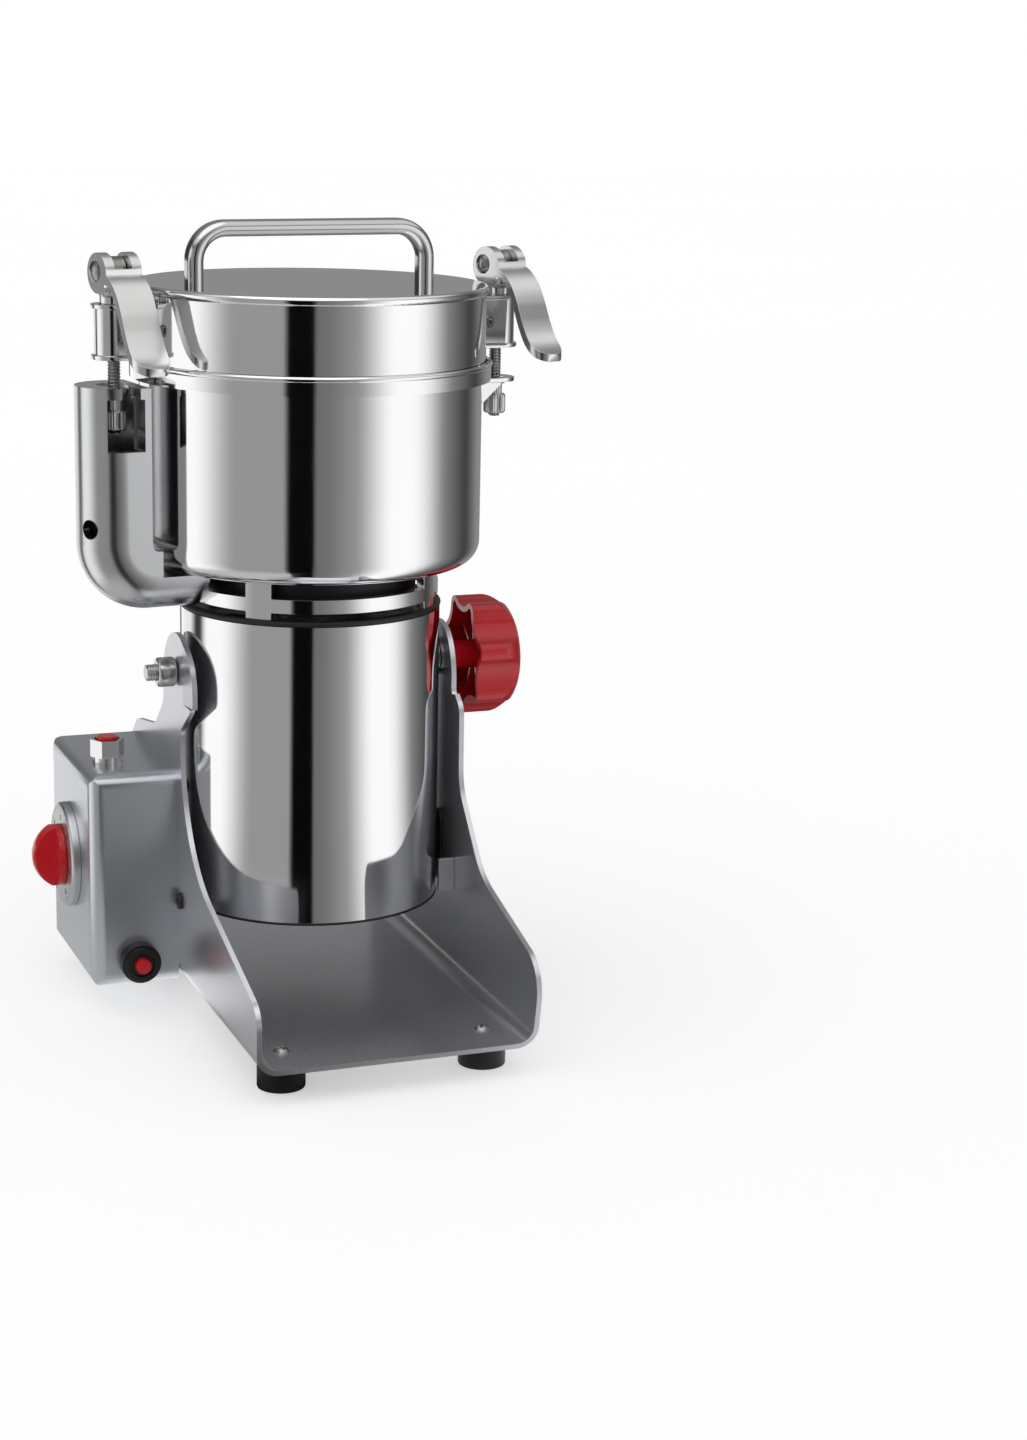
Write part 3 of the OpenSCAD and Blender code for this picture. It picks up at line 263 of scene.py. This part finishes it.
def gloss_plastic(name, color):
    """Moulded glossy plastic with a slight waviness and depth of colour."""
    s = Surface(name, Coat_Weight=0.3, Coat_Roughness=0.05, Specular_IOR_Level=0.4)
    s.mottled(color, 0.07, 30)
    s.roughness(s.noise(60), 0.16, 0.26)
    s.bump(s.noise(70, 2), 0.04, 0.0006)
    return s.material


def matte(name, color, rough, grain, dusty=1.9):
    """Rubber, silicone or moulded plastic with a fine texture and a little dust."""
    s = Surface(name, Specular_IOR_Level=0.4)
    dust = s.noise(45, 6, 0.65)
    s.feed("Base Color", s.ramp(dust, (0.35, color), (0.8, shade(color, dusty))))
    s.roughness(dust, rough * 0.9, min(1, rough * 1.15))
    s.bump(s.noise(grain, 3), 0.2, 0.0001)
    return s.material


def make_materials():
    """One material for each slot of the record."""
    return {
        "frame_paint": silver_paint("frame_paint", (0.63, 0.64, 0.67)),
        "box_paint": silver_paint("box_paint", (0.62, 0.645, 0.69)),
        "polished_steel": polished_steel("polished_steel"),
        "handle_steel": polished_steel("handle_steel", (0.62, 0.62, 0.61), 0.15),
        "lug_chrome": polished_steel("lug_chrome", (0.76, 0.76, 0.76), 0.12),
        "cast_aluminium": satin_metal("cast_aluminium", (0.66, 0.67, 0.68), 0.22),
        "lever_nickel": satin_metal("lever_nickel", (0.74, 0.74, 0.73), 0.22),
        "dark_steel": satin_metal("dark_steel", (0.33, 0.32, 0.31), 0.24),
        "nut_nickel": satin_metal("nut_nickel", (0.60, 0.59, 0.58), 0.22),
        "screw_steel": satin_metal("screw_steel", (0.30, 0.30, 0.30), 0.24),
        "red_plastic": gloss_plastic("red_plastic", (0.58, 0.010, 0.016)),
        "dial_metal": satin_metal("dial_metal", (0.60, 0.61, 0.62), 0.34),
        "black_rubber": matte("black_rubber", (0.012, 0.012, 0.013), 0.42, 2400),
        "black_plastic": matte("black_plastic", (0.010, 0.010, 0.011), 0.32, 1500),
        "seal_silicone": matte("seal_silicone", (0.70, 0.70, 0.68), 0.5, 900, 1.1),
        "timer_plastic": matte("timer_plastic", (0.60, 0.57, 0.48), 0.5, 900, 1.1),
        "core_iron": satin_metal("core_iron", (0.20, 0.20, 0.21), 0.5, 1.0, 0.3, LAMINATED),
        "copper": satin_metal("copper", (0.72, 0.34, 0.18), 0.3, 1.0, 0.3, WOUND),
        "machined_steel": satin_metal("machined_steel", (0.60, 0.60, 0.61), 0.22, 1.0, 0.15, LATHED),
        "cast_bracket": satin_metal("cast_bracket", (0.52, 0.52, 0.53), 0.45, 900, 0.2),
    }


def paint_nodes():
    """Gives each CAD node the material of its slot in the record."""
    for node, slot in SLOT_OF.items():
        data = frame["nodes"][node].data
        data.materials.clear()
        data.materials.append(materials[slot])


# ---- Pieces ----

SMOOTH_ANGLE = math.radians(32)        # edges turning more than this are shaded sharp
SHARP_ANGLE = math.radians(38)         # edges of a CAD node turning more than this are rounded
FLAT_ANGLE = math.radians(0.2)
WELD = 1e-6
ROUND_STEPS = 2


def show(name, mesh, slot, body, *nodes):
    """A piece of the visual model, in place of CAD nodes if any are named."""
    for polygon in mesh.polygons:
        polygon.use_smooth = True
    mesh.set_sharp_from_angle(angle=SMOOTH_ANGLE)
    mesh.materials.clear()
    mesh.materials.append(materials[slot])
    piece = bpy.data.objects.new(name, mesh)
    scene.collection.objects.link(piece)
    if nodes:
        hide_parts(*nodes)
    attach(piece, body)
    return piece


def cleaned(node):
    """A copy of a CAD node's mesh, with its flat areas as single faces."""
    bm = bmesh.new()
    bm.from_mesh(frame["nodes"][node].data)
    bmesh.ops.remove_doubles(bm, verts=bm.verts, dist=WELD)
    bmesh.ops.dissolve_limit(bm, angle_limit=FLAT_ANGLE, verts=bm.verts, edges=bm.edges)
    return bm


def soften(node, width):
    """Shows a CAD node with its sharp edges rounded by this width in millimetres."""
    bm = cleaned(node)
    sharp = [e for e in bm.edges if len(e.link_faces) == 2 and e.calc_face_angle(0) > SHARP_ANGLE]
    bmesh.ops.bevel(bm, geom=sharp, offset=width * MM, segments=ROUND_STEPS, profile=0.5, affect="EDGES",
                    clamp_overlap=True, loop_slide=True)
    mesh = bpy.data.meshes.new(f"{node}_soft")
    bm.to_mesh(mesh)
    bm.free()
    piece = show(f"{node}_soft", mesh, SLOT_OF[node], BODY_OF[node], node)
    flat = piece.modifiers.new("flat", "WEIGHTED_NORMAL")
    flat.keep_sharp = True


def grid_faces(rows, columns, close_rows=False):
    """Faces of a grid closed along its columns, whose vertex (row, column) has the index row * columns + column."""
    faces = []
    for i in range(rows if close_rows else rows - 1):
        k = (i + 1) % rows
        for j in range(columns):
            m = (j + 1) % columns
            faces.append((i * columns + j, i * columns + m, k * columns + m, k * columns + j))
    return faces


def turned_points(profile, columns, shape):
    """Points of a profile of (radius, height) in millimetres turned round Z; shape(r, z, turn) can move them."""
    points = []
    for r, z in profile:
        for j in range(columns):
            turn = 2 * math.pi * j / columns
            radius, height = shape(r, z, turn) if shape else (r, z)
            points.append((radius * math.cos(turn) * MM, radius * math.sin(turn) * MM, height * MM))
    return points


def turned(profile, columns=64, shape=None):
    """Closed mesh round Z from an open profile whose two ends are closed on the axis."""
    points = turned_points(profile, columns, shape)
    faces = grid_faces(len(profile), columns)
    low, high = len(points), len(points) + 1
    last = (len(profile) - 1) * columns
    for ring in (0, last):
        height = sum(points[ring + j][2] for j in range(columns)) / columns
        points.append((0, 0, height))
    for j in range(columns):
        m = (j + 1) % columns
        faces.append((low, m, j))
        faces.append((high, last + j, last + m))
    return points, faces


def turned_ring(profile, columns=64, shape=None):
    """Closed ring round Z from a closed profile."""
    return turned_points(profile, columns, shape), grid_faces(len(profile), columns, close_rows=True)


def ring_profile(outer, inner, low, high, edge):
    """Profile of a plain ring whose outer edges are rounded."""
    steps = 4
    corner = [(math.sin(a), math.cos(a)) for a in (math.pi / 2 * i / steps for i in range(steps + 1))]
    top = [(outer - edge + edge * s, high - edge + edge * c) for s, c in corner]
    bottom = [(outer - edge + edge * s, low + edge - edge * c) for s, c in corner]
    return [(inner, low), *bottom, *reversed(top), (inner, high)]


def joined(name, *parts):
    """One mesh from (points, faces, matrix) parts, with its faces turned outwards."""
    points, faces = [], []
    for part_points, part_faces, place in parts:
        start = len(points)
        points += [place @ Vector(p) for p in part_points]
        faces += [tuple(start + i for i in face) for face in part_faces]
    mesh = bpy.data.meshes.new(name)
    mesh.from_pydata(points, [], faces)
    bm = bmesh.new()
    bm.from_mesh(mesh)
    bmesh.ops.recalc_face_normals(bm, faces=bm.faces)
    bm.to_mesh(mesh)
    bm.free()
    return mesh


def at(x, y, z, direction=(0, 0, 1), spin=0.0):
    """Place in the mill's own frame, in millimetres from the bowl's axis, with local Z along the direction."""
    turn = Vector(direction).to_track_quat("Z", "Y").to_matrix().to_4x4()
    return Matrix.Translation(AXIS + Vector((x, y, z)) * MM) @ turn @ Matrix.Rotation(spin, 4, "Z")


def on_clamp(side, s, t, z):
    """Point on the clamp line: s outwards from the bowl's axis, t towards the front."""
    sign = -1 if side == "left" else 1
    x = sign * s * math.cos(CLAMP_TURN) + t * math.sin(CLAMP_TURN)
    y = sign * s * math.sin(CLAMP_TURN) - t * math.cos(CLAMP_TURN)
    return x, y, z


def place_shape(points_and_faces, matrix):
    """A part for joined()."""
    points, faces = points_and_faces
    return points, faces, matrix


def thread(radius, low, high, pitch, depth, columns=24):
    """A threaded rod: the crest runs up as a helix, and both ends are chamfered."""
    rows_per_turn, chamfer = 6, 0.8
    rows = max(2, round((high - low) / pitch * rows_per_turn))

    def shape(r, z, turn):
        phase = (z / pitch - turn / (2 * math.pi)) % 1.0
        ease = min(1.0, (z - low) / chamfer, (high - z) / chamfer)
        groove = depth * (0.5 + 0.5 * math.cos(2 * math.pi * phase))
        return r - groove - depth * (1 - ease), z

    profile = [(radius, low + (high - low) * i / rows) for i in range(rows + 1)]
    return turned(profile, columns, shape)


# ---- Floor, world and lamps ----

FLOOR_HALF = 9.0
FLOOR_COLOR = 0.80
FLOOR_LIFT = 0.46      # brings the lit floor up to white for the camera
# Polished metal sees a light patch of floor beside the mill: where it starts to fade and ends, and its level. The
# patch and the glow below start at the first x of LEFT_OF and are full at the second.
NEAR_FLOOR = (0.20, 0.34, 0.55)
LEFT_OF = (-0.07, -0.12)
WORLD_LEVEL = 0.85     # world light on the object itself, at the horizon
WORLD_TOP = 0.38       # and overhead
WORLD_LEAN = 0.4       # how much more of it comes from the left than from the right
SUN_LEVEL = 0.5
SUN_TOWARDS = (0.2, 0.3, -1.0)
SUN_SPREAD = 60        # degrees

# What polished metal sees around it, as screens in a dark studio: where each one starts, is full, ends being full
# and is gone, in degrees from the studio's dark middle, and how bright it is.
STUDIO_MIDDLE = -113.0
STUDIO_BASE = 0.05
SCREENS = (
    (-106, -98, -12, -8, 0.30),
    (-104, -93, -78, -42, 0.80),
    (7, 11, 106, 136, 0.13),
    (12, 45, 84, 118, 0.20),
    (34, 63, 74, 108, 0.78),
)
FLOOR_GLOW = (-172, -150, -124, -110, 0.90)     # lit floor behind the left side, which lights the left faces
BACK_WALL = (128, 160, 0.22)                    # starts and is full this far to either side of the middle, level
GAP_HALF = 9                                    # the dark gap ends this far to either side of the middle
GAP_EDGE = 2
GAP_LEVEL = 0.06


def off_middle(n, x, y):
    """How far the direction of x and y lies from the studio's dark middle, in degrees."""
    degrees = n.math("MULTIPLY", n.math("ARCTAN2", y, x), 180 / math.pi)
    off = n.math("WRAP", n.math("SUBTRACT", degrees, STUDIO_MIDDLE), 180.0)
    off.node.inputs[2].default_value = -180.0
    return off


def screen(n, off, start, full, fall, end, level):
    """Brightness of one screen."""
    rise = n.remap(off, start, full, 0, level, smooth=True)
    return n.math("MULTIPLY", rise, n.remap(off, fall, end, 1, 0, smooth=True))


def studio(n, off):
    """Brightness of the studio that far from its middle."""
    total = STUDIO_BASE
    for values in SCREENS:
        total = n.math("ADD", screen(n, off, *values), total)
    away = n.math("ABSOLUTE", off)
    start, full, level = BACK_WALL
    return n.math("ADD", n.remap(away, start, full, 0, level, smooth=True), total)


def outside_gap(n, off):
    """1, falling to the gap's level at the studio's dark middle."""
    return n.remap(n.math("ABSOLUTE", off), GAP_HALF - GAP_EDGE, GAP_HALF, GAP_LEVEL, 1, smooth=True)


def make_floor():
    """White with a soft shadow for the camera. Polished metal sees the studio's lower half in it."""
    s = Surface("floor", Roughness=0.9, Specular_IOR_Level=0.1)
    low, high = (FLOOR_COLOR,) * 3, (FLOOR_COLOR + 0.01,) * 3
    s.feed("Base Color", s.ramp(s.noise(0.7, 3), (NOISE_LOW, low), (NOISE_HIGH, high)))
    s.shader.inputs["Emission Color"].default_value = (1, 1, 1, 1)
    s.feed("Emission Strength", s.math("MULTIPLY", s.path("Is Camera Ray"), FLOOR_LIFT))
    split = s.new("ShaderNodeSeparateXYZ")
    s.link(s.where, split.inputs["Vector"])
    x, y = split.outputs["X"], split.outputs["Y"]
    radius = s.math("SQRT", s.math("ADD", s.math("MULTIPLY", x, x), s.math("MULTIPLY", y, y)))
    start, end, level = NEAR_FLOOR
    on_left = s.remap(x, *LEFT_OF, 0, 1, smooth=True)
    near = s.math("MULTIPLY", s.remap(radius, start, end, 1, 0, smooth=True), on_left)
    off = off_middle(s, x, y)
    glow = s.math("MULTIPLY", screen(s, off, *FLOOR_GLOW), on_left)
    far_light = s.math("MULTIPLY", s.math("ADD", studio(s, off), glow), s.math("SUBTRACT", 1.0, near))
    light = s.new("ShaderNodeEmission")
    both = s.math("ADD", far_light, s.math("MULTIPLY", near, level))
    s.link(s.math("MULTIPLY", both, outside_gap(s, off)), light.inputs["Strength"])
    choice = s.new("ShaderNodeMixShader")
    s.link(s.path("Is Glossy Ray"), choice.inputs["Fac"])
    s.link(s.shader.outputs["BSDF"], choice.inputs[1])
    s.link(light.outputs["Emission"], choice.inputs[2])
    s.link(choice.outputs["Shader"], s.output.inputs["Surface"])
    mesh = bpy.data.meshes.new("floor")
    corners = [(-1, -1), (1, -1), (1, 1), (-1, 1)]
    mesh.from_pydata([(x * FLOOR_HALF, y * FLOOR_HALF, 0) for x, y in corners], [], [(0, 1, 2, 3)])
    mesh.materials.append(s.material)
    floor = bpy.data.objects.new("floor", mesh)
    floor.location = AXIS
    scene.collection.objects.link(floor)


# Sine of the height where the walls' light starts to fade and ends, the level above them, and the same for the
# ceiling light, which hangs in front of the mill and is weaker behind it.
WALL_TOP = (0.32, 0.44, 0.16)
CEILING = (0.44, 0.62, 0.90)
CEILING_BACK = (0.45, 0.05, 0.30)


def make_world():
    """White for the camera. Polished metal sees the studio, with a soft light overhead."""
    world = bpy.data.worlds.new("world")
    world.use_nodes = True
    scene.world = world
    n = Nodes(world.node_tree, "Generated")
    output = n.new("ShaderNodeOutputWorld")
    background = n.new("ShaderNodeBackground")
    background.inputs["Color"].default_value = (1, 1, 1, 1)
    n.link(background.outputs["Background"], output.inputs["Surface"])
    split = n.new("ShaderNodeSeparateXYZ")
    n.link(n.where, split.inputs["Vector"])
    start, end, dim = WALL_TOP
    above_walls = n.remap(split.outputs["Z"], start, end, 0, 1, smooth=True)
    off = off_middle(n, split.outputs["X"], split.outputs["Y"])
    walls = n.math("MULTIPLY", studio(n, off), outside_gap(n, off))
    walls = n.math("MULTIPLY", walls, n.math("SUBTRACT", 1.0, above_walls))
    start, full, level = CEILING
    above = n.remap(split.outputs["Z"], start, full, 0, 1, smooth=True)
    behind, before, weak = CEILING_BACK
    in_front = n.remap(split.outputs["Y"], before, behind, level, weak, smooth=True)
    over = n.math("ADD", n.math("MULTIPLY", n.math("SUBTRACT", above_walls, above), dim),
                  n.math("MULTIPLY", above, in_front))
    seen = n.math("ADD", walls, over)
    glossy = n.path("Is Glossy Ray")
    direct = n.math("SUBTRACT", n.path("Is Camera Ray", "Is Transmission Ray", "Is Glossy Ray"), glossy)
    rest = n.math("SUBTRACT", 1.0, n.math("ADD", direct, glossy))
    from_left = n.remap(split.outputs["X"], -1, 1, WORLD_LEVEL * (1 + WORLD_LEAN), WORLD_LEVEL * (1 - WORLD_LEAN))
    sides = n.math("MULTIPLY", from_left, n.math("SUBTRACT", 1.0, above))
    around = n.math("ADD", sides, n.math("MULTIPLY", above, WORLD_TOP))
    strength = n.math("ADD", n.math("MULTIPLY", seen, glossy), direct)
    strength = n.math("ADD", n.math("MULTIPLY", rest, around), strength)
    n.link(strength, background.inputs["Strength"])


def make_lamps():
    """One soft sun from above."""
    data = bpy.data.lights.new("key", "SUN")
    data.energy = SUN_LEVEL
    data.angle = math.radians(SUN_SPREAD)
    lamp = bpy.data.objects.new("key", data)
    lamp.rotation_euler = Vector(SUN_TOWARDS).to_track_quat("-Z", "Y").to_euler()
    scene.collection.objects.link(lamp)


# ---- Rounded copies of the CAD nodes that show ----

# Width of the rounding in millimetres
SOFT = {
    "base_frame": 0.5, "control_box": 0.3, "upright_stop": 0.3, "dial_plate": 0.4, "timer_knob": 0.6,
    "breaker_nut": 0.4, "start_switch_collar": 0.4, "tilt_knob": 0.5, "vent_ring": 0.25, "switch_arm": 0.6,
    "latch_tab": 0.4, "clamp_lugs": 0.4, "left_collar": 0.4, "right_collar": 0.4, "left_clamp_lever": 0.6,
    "right_clamp_lever": 0.6, "rubber_feet": 0.8, "start_button": 0.8, "reset_button": 0.8,
    "stop_pad": 0.6, "wall_grommet": 0.4, "breaker_body": 0.4, "motor_housing": 0.3,
}


def soften_nodes():
    for node, width in SOFT.items():
        soften(node, width)


# ---- Pieces with threads, knurls and recesses ----

UP = (0, 0, 1)
TO_FRONT = (math.sin(CLAMP_TURN), -math.cos(CLAMP_TURN), 0)     # along t, square to the clamp line
TO_RIGHT = (1, 0, 0)
ROD_AT = 97.0          # from the bowl's axis out to each clamp rod
PIVOT_Z = 167.0
HOUSING_COLUMNS = 160  # round the rings on the motor housing


def make_gasket():
    """The ring on the housing's top edge, with a round outer side."""
    outer, inner, low, high, edge = 62.1, 58.2, 196.9, 199.6, 1.34
    ring = turned_ring(ring_profile(outer, inner, low, high, edge), HOUSING_COLUMNS)
    mesh = joined("gasket", place_shape(ring, at(0, 0, 0)))
    show("gasket", mesh, "black_rubber", "head", "housing_gasket")


HANDLE_W = 124.0       # over the legs
HANDLE_H = 28.78       # over the lid
HANDLE_BEND = 11.0     # inner radius of its corners
BAR_T = 7.6            # height of the bar
BAR_D = 11.0           # depth of the bar, front to back
LID_Z = 348.2          # top of the lid
ARC_STEPS = 12
LEG_STEPS = 3


def handle_path():
    """Middle line of the bar as (across, up, direction of its outer side)."""
    radius = HANDLE_BEND + BAR_T / 2
    half = HANDLE_W / 2 - BAR_T / 2 - radius
    leg = HANDLE_H - BAR_T / 2 - radius
    turns = [math.pi - math.pi / 2 * i / ARC_STEPS for i in range(ARC_STEPS + 1)]
    left = [(-half - radius, leg * i / LEG_STEPS, math.pi) for i in range(LEG_STEPS)]
    left += [(-half + radius * math.cos(a), leg + radius * math.sin(a), a) for a in turns]
    return left + [(-x, z, math.pi - a) for x, z, a in reversed(left)]


def make_handle():
    """Strap handle of a flat bar whose front and back edges are fully round."""
    flat = BAR_D / 2 - BAR_T / 2
    turns = [math.pi * i / ARC_STEPS for i in range(ARC_STEPS + 1)]
    section = [(BAR_T / 2 * math.cos(a), flat + BAR_T / 2 * math.sin(a)) for a in turns]
    section += [(-out, -deep) for out, deep in section]
    path = handle_path()
    points = [((x + out * math.cos(a)) * MM, deep * MM, (z + out * math.sin(a)) * MM)
              for x, z, a in path for out, deep in section]
    faces = grid_faces(len(path), len(section))
    last = (len(path) - 1) * len(section)
    faces += [tuple(range(len(section))), tuple(last + i for i in range(len(section)))]
    mesh = joined("handle", (points, faces, at(0, 0, LID_Z, UP, CLAMP_TURN)))
    show("handle", mesh, "handle_steel", "lid", "lid_handle")


def make_bottom_trim():
    """Black ring round the housing's lower end: painted shade, standing for the dark shadow line at the housing's
    edge.
    """
    # The black rubber here paints the shade line under the housing's edge; it is not a separate trim part.
    outer, inner, low, high, edge = 61.95, 60.6, 54.8, 56.1, 0.35
    shade_ring = turned_ring(ring_profile(outer, inner, low, high, edge), HOUSING_COLUMNS)
    show("shade_line_ring", joined("shade_line_ring", place_shape(shade_ring, at(0, 0, 0))), "black_rubber", "head")


ROD_R = 3.0
ROD_FOOT = 281.9       # height of its lower end
ROD_PITCH, ROD_DEPTH = 1.5, 0.5
BARREL_R, BARREL_BORE, BARREL_HALF, BARREL_EDGE = 6.5, 2.52, 4.0, 0.5


def make_clamp_rods():
    """Threaded rods, each with the barrel that turns on its lever's pin."""
    for side in SIDES:
        turn = LEVER_AZ[side]
        across = (-math.sin(turn), math.cos(turn), 0)
        pin_z = PIN_Z / MM
        barrel = turned_ring(barrel_profile(BARREL_R, BARREL_BORE, BARREL_HALF, BARREL_EDGE), 48)
        rod = thread(ROD_R, ROD_FOOT, pin_z - BARREL_HALF, ROD_PITCH, ROD_DEPTH)
        mesh = joined(f"{side}_rod", place_shape(rod, at(*on_clamp(side, ROD_AT, 0, 0))),
                      place_shape(barrel, at(*on_clamp(side, ROD_AT, 0, pin_z), across)))
        show(f"{side}_rod", mesh, "dark_steel", BODY_OF[f"{side}_clamp_rod"], f"{side}_clamp_rod")


def barrel_profile(outer, inner, half, edge):
    """Profile of a ring with chamfered outer edges, from -half to half."""
    return [(inner, -half), (outer - edge, -half), (outer, -half + edge),
            (outer, half - edge), (outer - edge, half), (inner, half)]


KNURLS = 26
NUT_BODY = (5.2, 5.5, 0.3)             # radii between which the profile is knurled, and how deep
NUT_NECK = (3.5, 3.7, 0.15)


def knurl(r, z, turn):
    """Straight knurl on a nut's body and shallower ribs on its neck."""
    for low, high, depth in (NUT_BODY, NUT_NECK):
        if low < r < high:
            return r - depth * (0.5 + 0.5 * math.cos(KNURLS * turn)), z
    return r, z


def make_knurled_nuts():
    """Nuts at the rods' lower ends, as profiles of (radius, height)."""
    profile = [
        (3.05, 283.4), (4.7, 283.4), (5.35, 284.1), (5.35, 286), (5.35, 288), (5.35, 290), (5.35, 292.0),
        (4.7, 292.7), (3.6, 292.7), (3.6, 294.5), (3.6, 296.2), (3.6, 297.7), (4.7, 297.7), (4.95, 298.0),
        (4.95, 298.5), (4.75, 298.7), (3.05, 298.7),
    ]
    for side in SIDES:
        nut = turned_ring(profile, 156, knurl)
        mesh = joined(f"{side}_nut", place_shape(nut, at(*on_clamp(side, ROD_AT, 0, 0))))
        show(f"{side}_nut", mesh, "nut_nickel", BODY_OF[f"{side}_knurled_nut"], f"{side}_knurled_nut")


SOCKET_R = 1.6         # what is narrower than this in the screw's profile is its hexagon socket
LUG_SCREW = (88.5, 8.8, 328)           # out along the clamp line, towards the front, height


def hexagon(r, z, turn):
    """Turns the narrow part of a profile into a hexagon."""
    if r >= SOCKET_R:
        return r, z
    sixth = math.pi / 3
    return r / math.cos((turn + sixth / 2) % sixth - sixth / 2), z


def make_lug_screws():
    """Socket screw in the front side of each lug."""
    profile = [(2.9, -0.6), (2.9, 0.9), (2.6, 1.2), (1.7, 1.2), (1.35, 1.1), (1.3, 0.1)]
    parts = [place_shape(turned(profile, 48, hexagon), at(*on_clamp(side, *LUG_SCREW), TO_FRONT))
             for side in SIDES]
    show("lug_screws", joined("lug_screws", *parts), "screw_steel", "lid")


# Cross recess: half width and half length of an arm, how wide the slopes at its sides and ends are, and its depth
CROSS_W, CROSS_L = 0.62, 2.3
SIDE_SLOPE, END_SLOPE = 0.2, 0.25
CROSS_DEPTH = 1.1


def cross_recess(r, z, turn):
    """Sinks a cross into a screw's domed head."""
    if z <= 0:
        return r, z
    x, y = abs(r * math.cos(turn)), abs(r * math.sin(turn))
    long, short = max(x, y), min(x, y)
    across = max(0.0, min(1.0, (CROSS_W - short) / SIDE_SLOPE))
    along = max(0.0, min(1.0, (CROSS_L - long) / END_SLOPE))
    return r, z - CROSS_DEPTH * (across * along)


# Place of each foot screw from the bowl's axis and the turn of its cross, in degrees
FOOT_SCREWS = ((-48, -115.3, 20), (48, -115.3, 62), (-48, 71.4, 5), (48, 71.4, 40))
PLATE_TOP = 16.4


def make_foot_screws():
    """Domed screws through the base plate into the feet."""
    shank_r, length, head_r, head_h, dome_r, steps = 1.98, 11.0, 3.66, 2.2, 4.15, 16
    radii = [head_r * (1 - i / steps) for i in range(steps)]
    dome = [(r, head_h - dome_r + math.sqrt(dome_r ** 2 - r ** 2)) for r in radii]
    profile = [(shank_r, -length), (shank_r, 0.0), *dome]
    parts = [place_shape(turned(profile, 64, cross_recess), at(x, y, PLATE_TOP, UP, math.radians(spin)))
             for x, y, spin in FOOT_SCREWS]
    show("plate_screws", joined("plate_screws", *parts), "screw_steel", "stand", "foot_screws")


STUD_R = 4.0
STUD_PITCH, STUD_DEPTH = 1.25, 0.42
STUD_ENDS = ((-80.55, -51.2), (51.2, 96.05))
PIVOT_BORE = 4.02


def make_pivot():
    """Threaded studs, the round nut on the left one and the washers."""
    studs = [place_shape(thread(STUD_R, low, high, STUD_PITCH, STUD_DEPTH, 32), at(0, 0, PIVOT_Z, TO_RIGHT))
             for low, high in STUD_ENDS]
    show("studs", joined("studs", *studs), "nut_nickel", "head", "pivot_studs")
    rings = (
        ring_profile(7.0, PIVOT_BORE, -75.35, -66.35, 1.6),
        ring_profile(9.0, PIVOT_BORE, 61.8, 63.5, 0.4),
        ring_profile(9.0, PIVOT_BORE, -63.5, -61.8, 0.4),
    )
    parts = [place_shape(turned_ring(profile, 96), at(0, 0, PIVOT_Z, TO_RIGHT)) for profile in rings]
    show("nuts", joined("nuts", *parts), "nut_nickel", "head", "pivot_nuts")


# Strokes of a figure, in a field 1 wide and 2 high
STROKES = {"0": "abcdef", "1": "bc", "2": "abged", "3": "abgcd", "5": "afgcd"}
STROKE_ENDS = {
    "a": ((0, 2), (1, 2)), "b": ((1, 1), (1, 2)), "c": ((1, 0), (1, 1)), "d": ((0, 0), (1, 0)),
    "e": ((0, 0), (0, 1)), "f": ((0, 1), (0, 2)), "g": ((0, 1), (1, 1)),
}


def flat_bar(start, end, width, low, high):
    """A thin printed bar between two points of the dial's face."""
    a, b = Vector(start), Vector(end)
    along = (b - a).normalized() * width / 2
    side = Vector((-along.y, along.x))
    corners = [a - along - side, b + along - side, b + along + side, a - along + side]
    points = [(c.x * MM, c.y * MM, z * MM) for z in (low, high) for c in corners]
    faces = [(0, 1, 2, 3), (4, 5, 6, 7)] + [(i, (i + 1) % 4, (i + 1) % 4 + 4, i + 4) for i in range(4)]
    return points, faces


DIAL_FACE = (-112.85, 44, 69)
DIAL_START = 240       # direction of the mark for 0, in degrees
MINUTE = 10            # degrees from one minute's mark to the next
MINUTES = 30
NUMBERED = 5           # every fifth mark is longer and has its number
TICK_OUT, TICK_IN, LONG_TICK_IN = 23.7, 22.5, 21.4
TICK_W, LONG_TICK_W = 0.3, 0.45
FIGURES_AT = 18.7      # radius of the circle that the numbers stand on
FIGURE_W, FIGURE_GAP, FIGURE_STEP = 1.1, 0.5, 1.6
STROKE_W = 0.34
PRINT_LOW, PRINT_HIGH = -0.05, 0.05


def make_dial_marks():
    """Marks and plain minutes round the timer's dial."""
    place = at(*DIAL_FACE, (-1, 0, 0))
    bars = []
    for i in range(MINUTES + 1):
        turn = math.radians(DIAL_START - MINUTE * i)
        inner, width = (LONG_TICK_IN, LONG_TICK_W) if i % NUMBERED == 0 else (TICK_IN, TICK_W)
        ends = [(r * math.cos(turn), r * math.sin(turn)) for r in (inner, TICK_OUT)]
        bars.append(flat_bar(*ends, width, PRINT_LOW, PRINT_HIGH))
    for minutes in range(0, MINUTES + 1, NUMBERED):
        turn = math.radians(DIAL_START - MINUTE * minutes)
        figures = str(minutes)
        left = -(FIGURE_W * len(figures) + FIGURE_GAP * (len(figures) - 1)) / 2
        middle_x, middle_y = FIGURES_AT * math.cos(turn), FIGURES_AT * math.sin(turn)
        for k, figure in enumerate(figures):
            for stroke in STROKES[figure]:
                ends = [(middle_x + left + FIGURE_STEP * k + FIGURE_W * x, middle_y + FIGURE_W * (y - 1))
                        for x, y in STROKE_ENDS[stroke]]
                bars.append(flat_bar(*ends, STROKE_W, PRINT_LOW, PRINT_HIGH))
    mesh = joined("dial_marks", *(place_shape(bar, place) for bar in bars))
    show("dial_marks", mesh, "black_plastic", "stand")


make_camera()
materials = make_materials()
paint_nodes()
soften_nodes()
make_handle()
make_gasket()
# Black ring painting the shade line at the housing's lower edge
make_bottom_trim()
make_clamp_rods()
make_knurled_nuts()
make_lug_screws()
make_foot_screws()
make_pivot()
make_dial_marks()
make_floor()
make_world()
make_lamps()
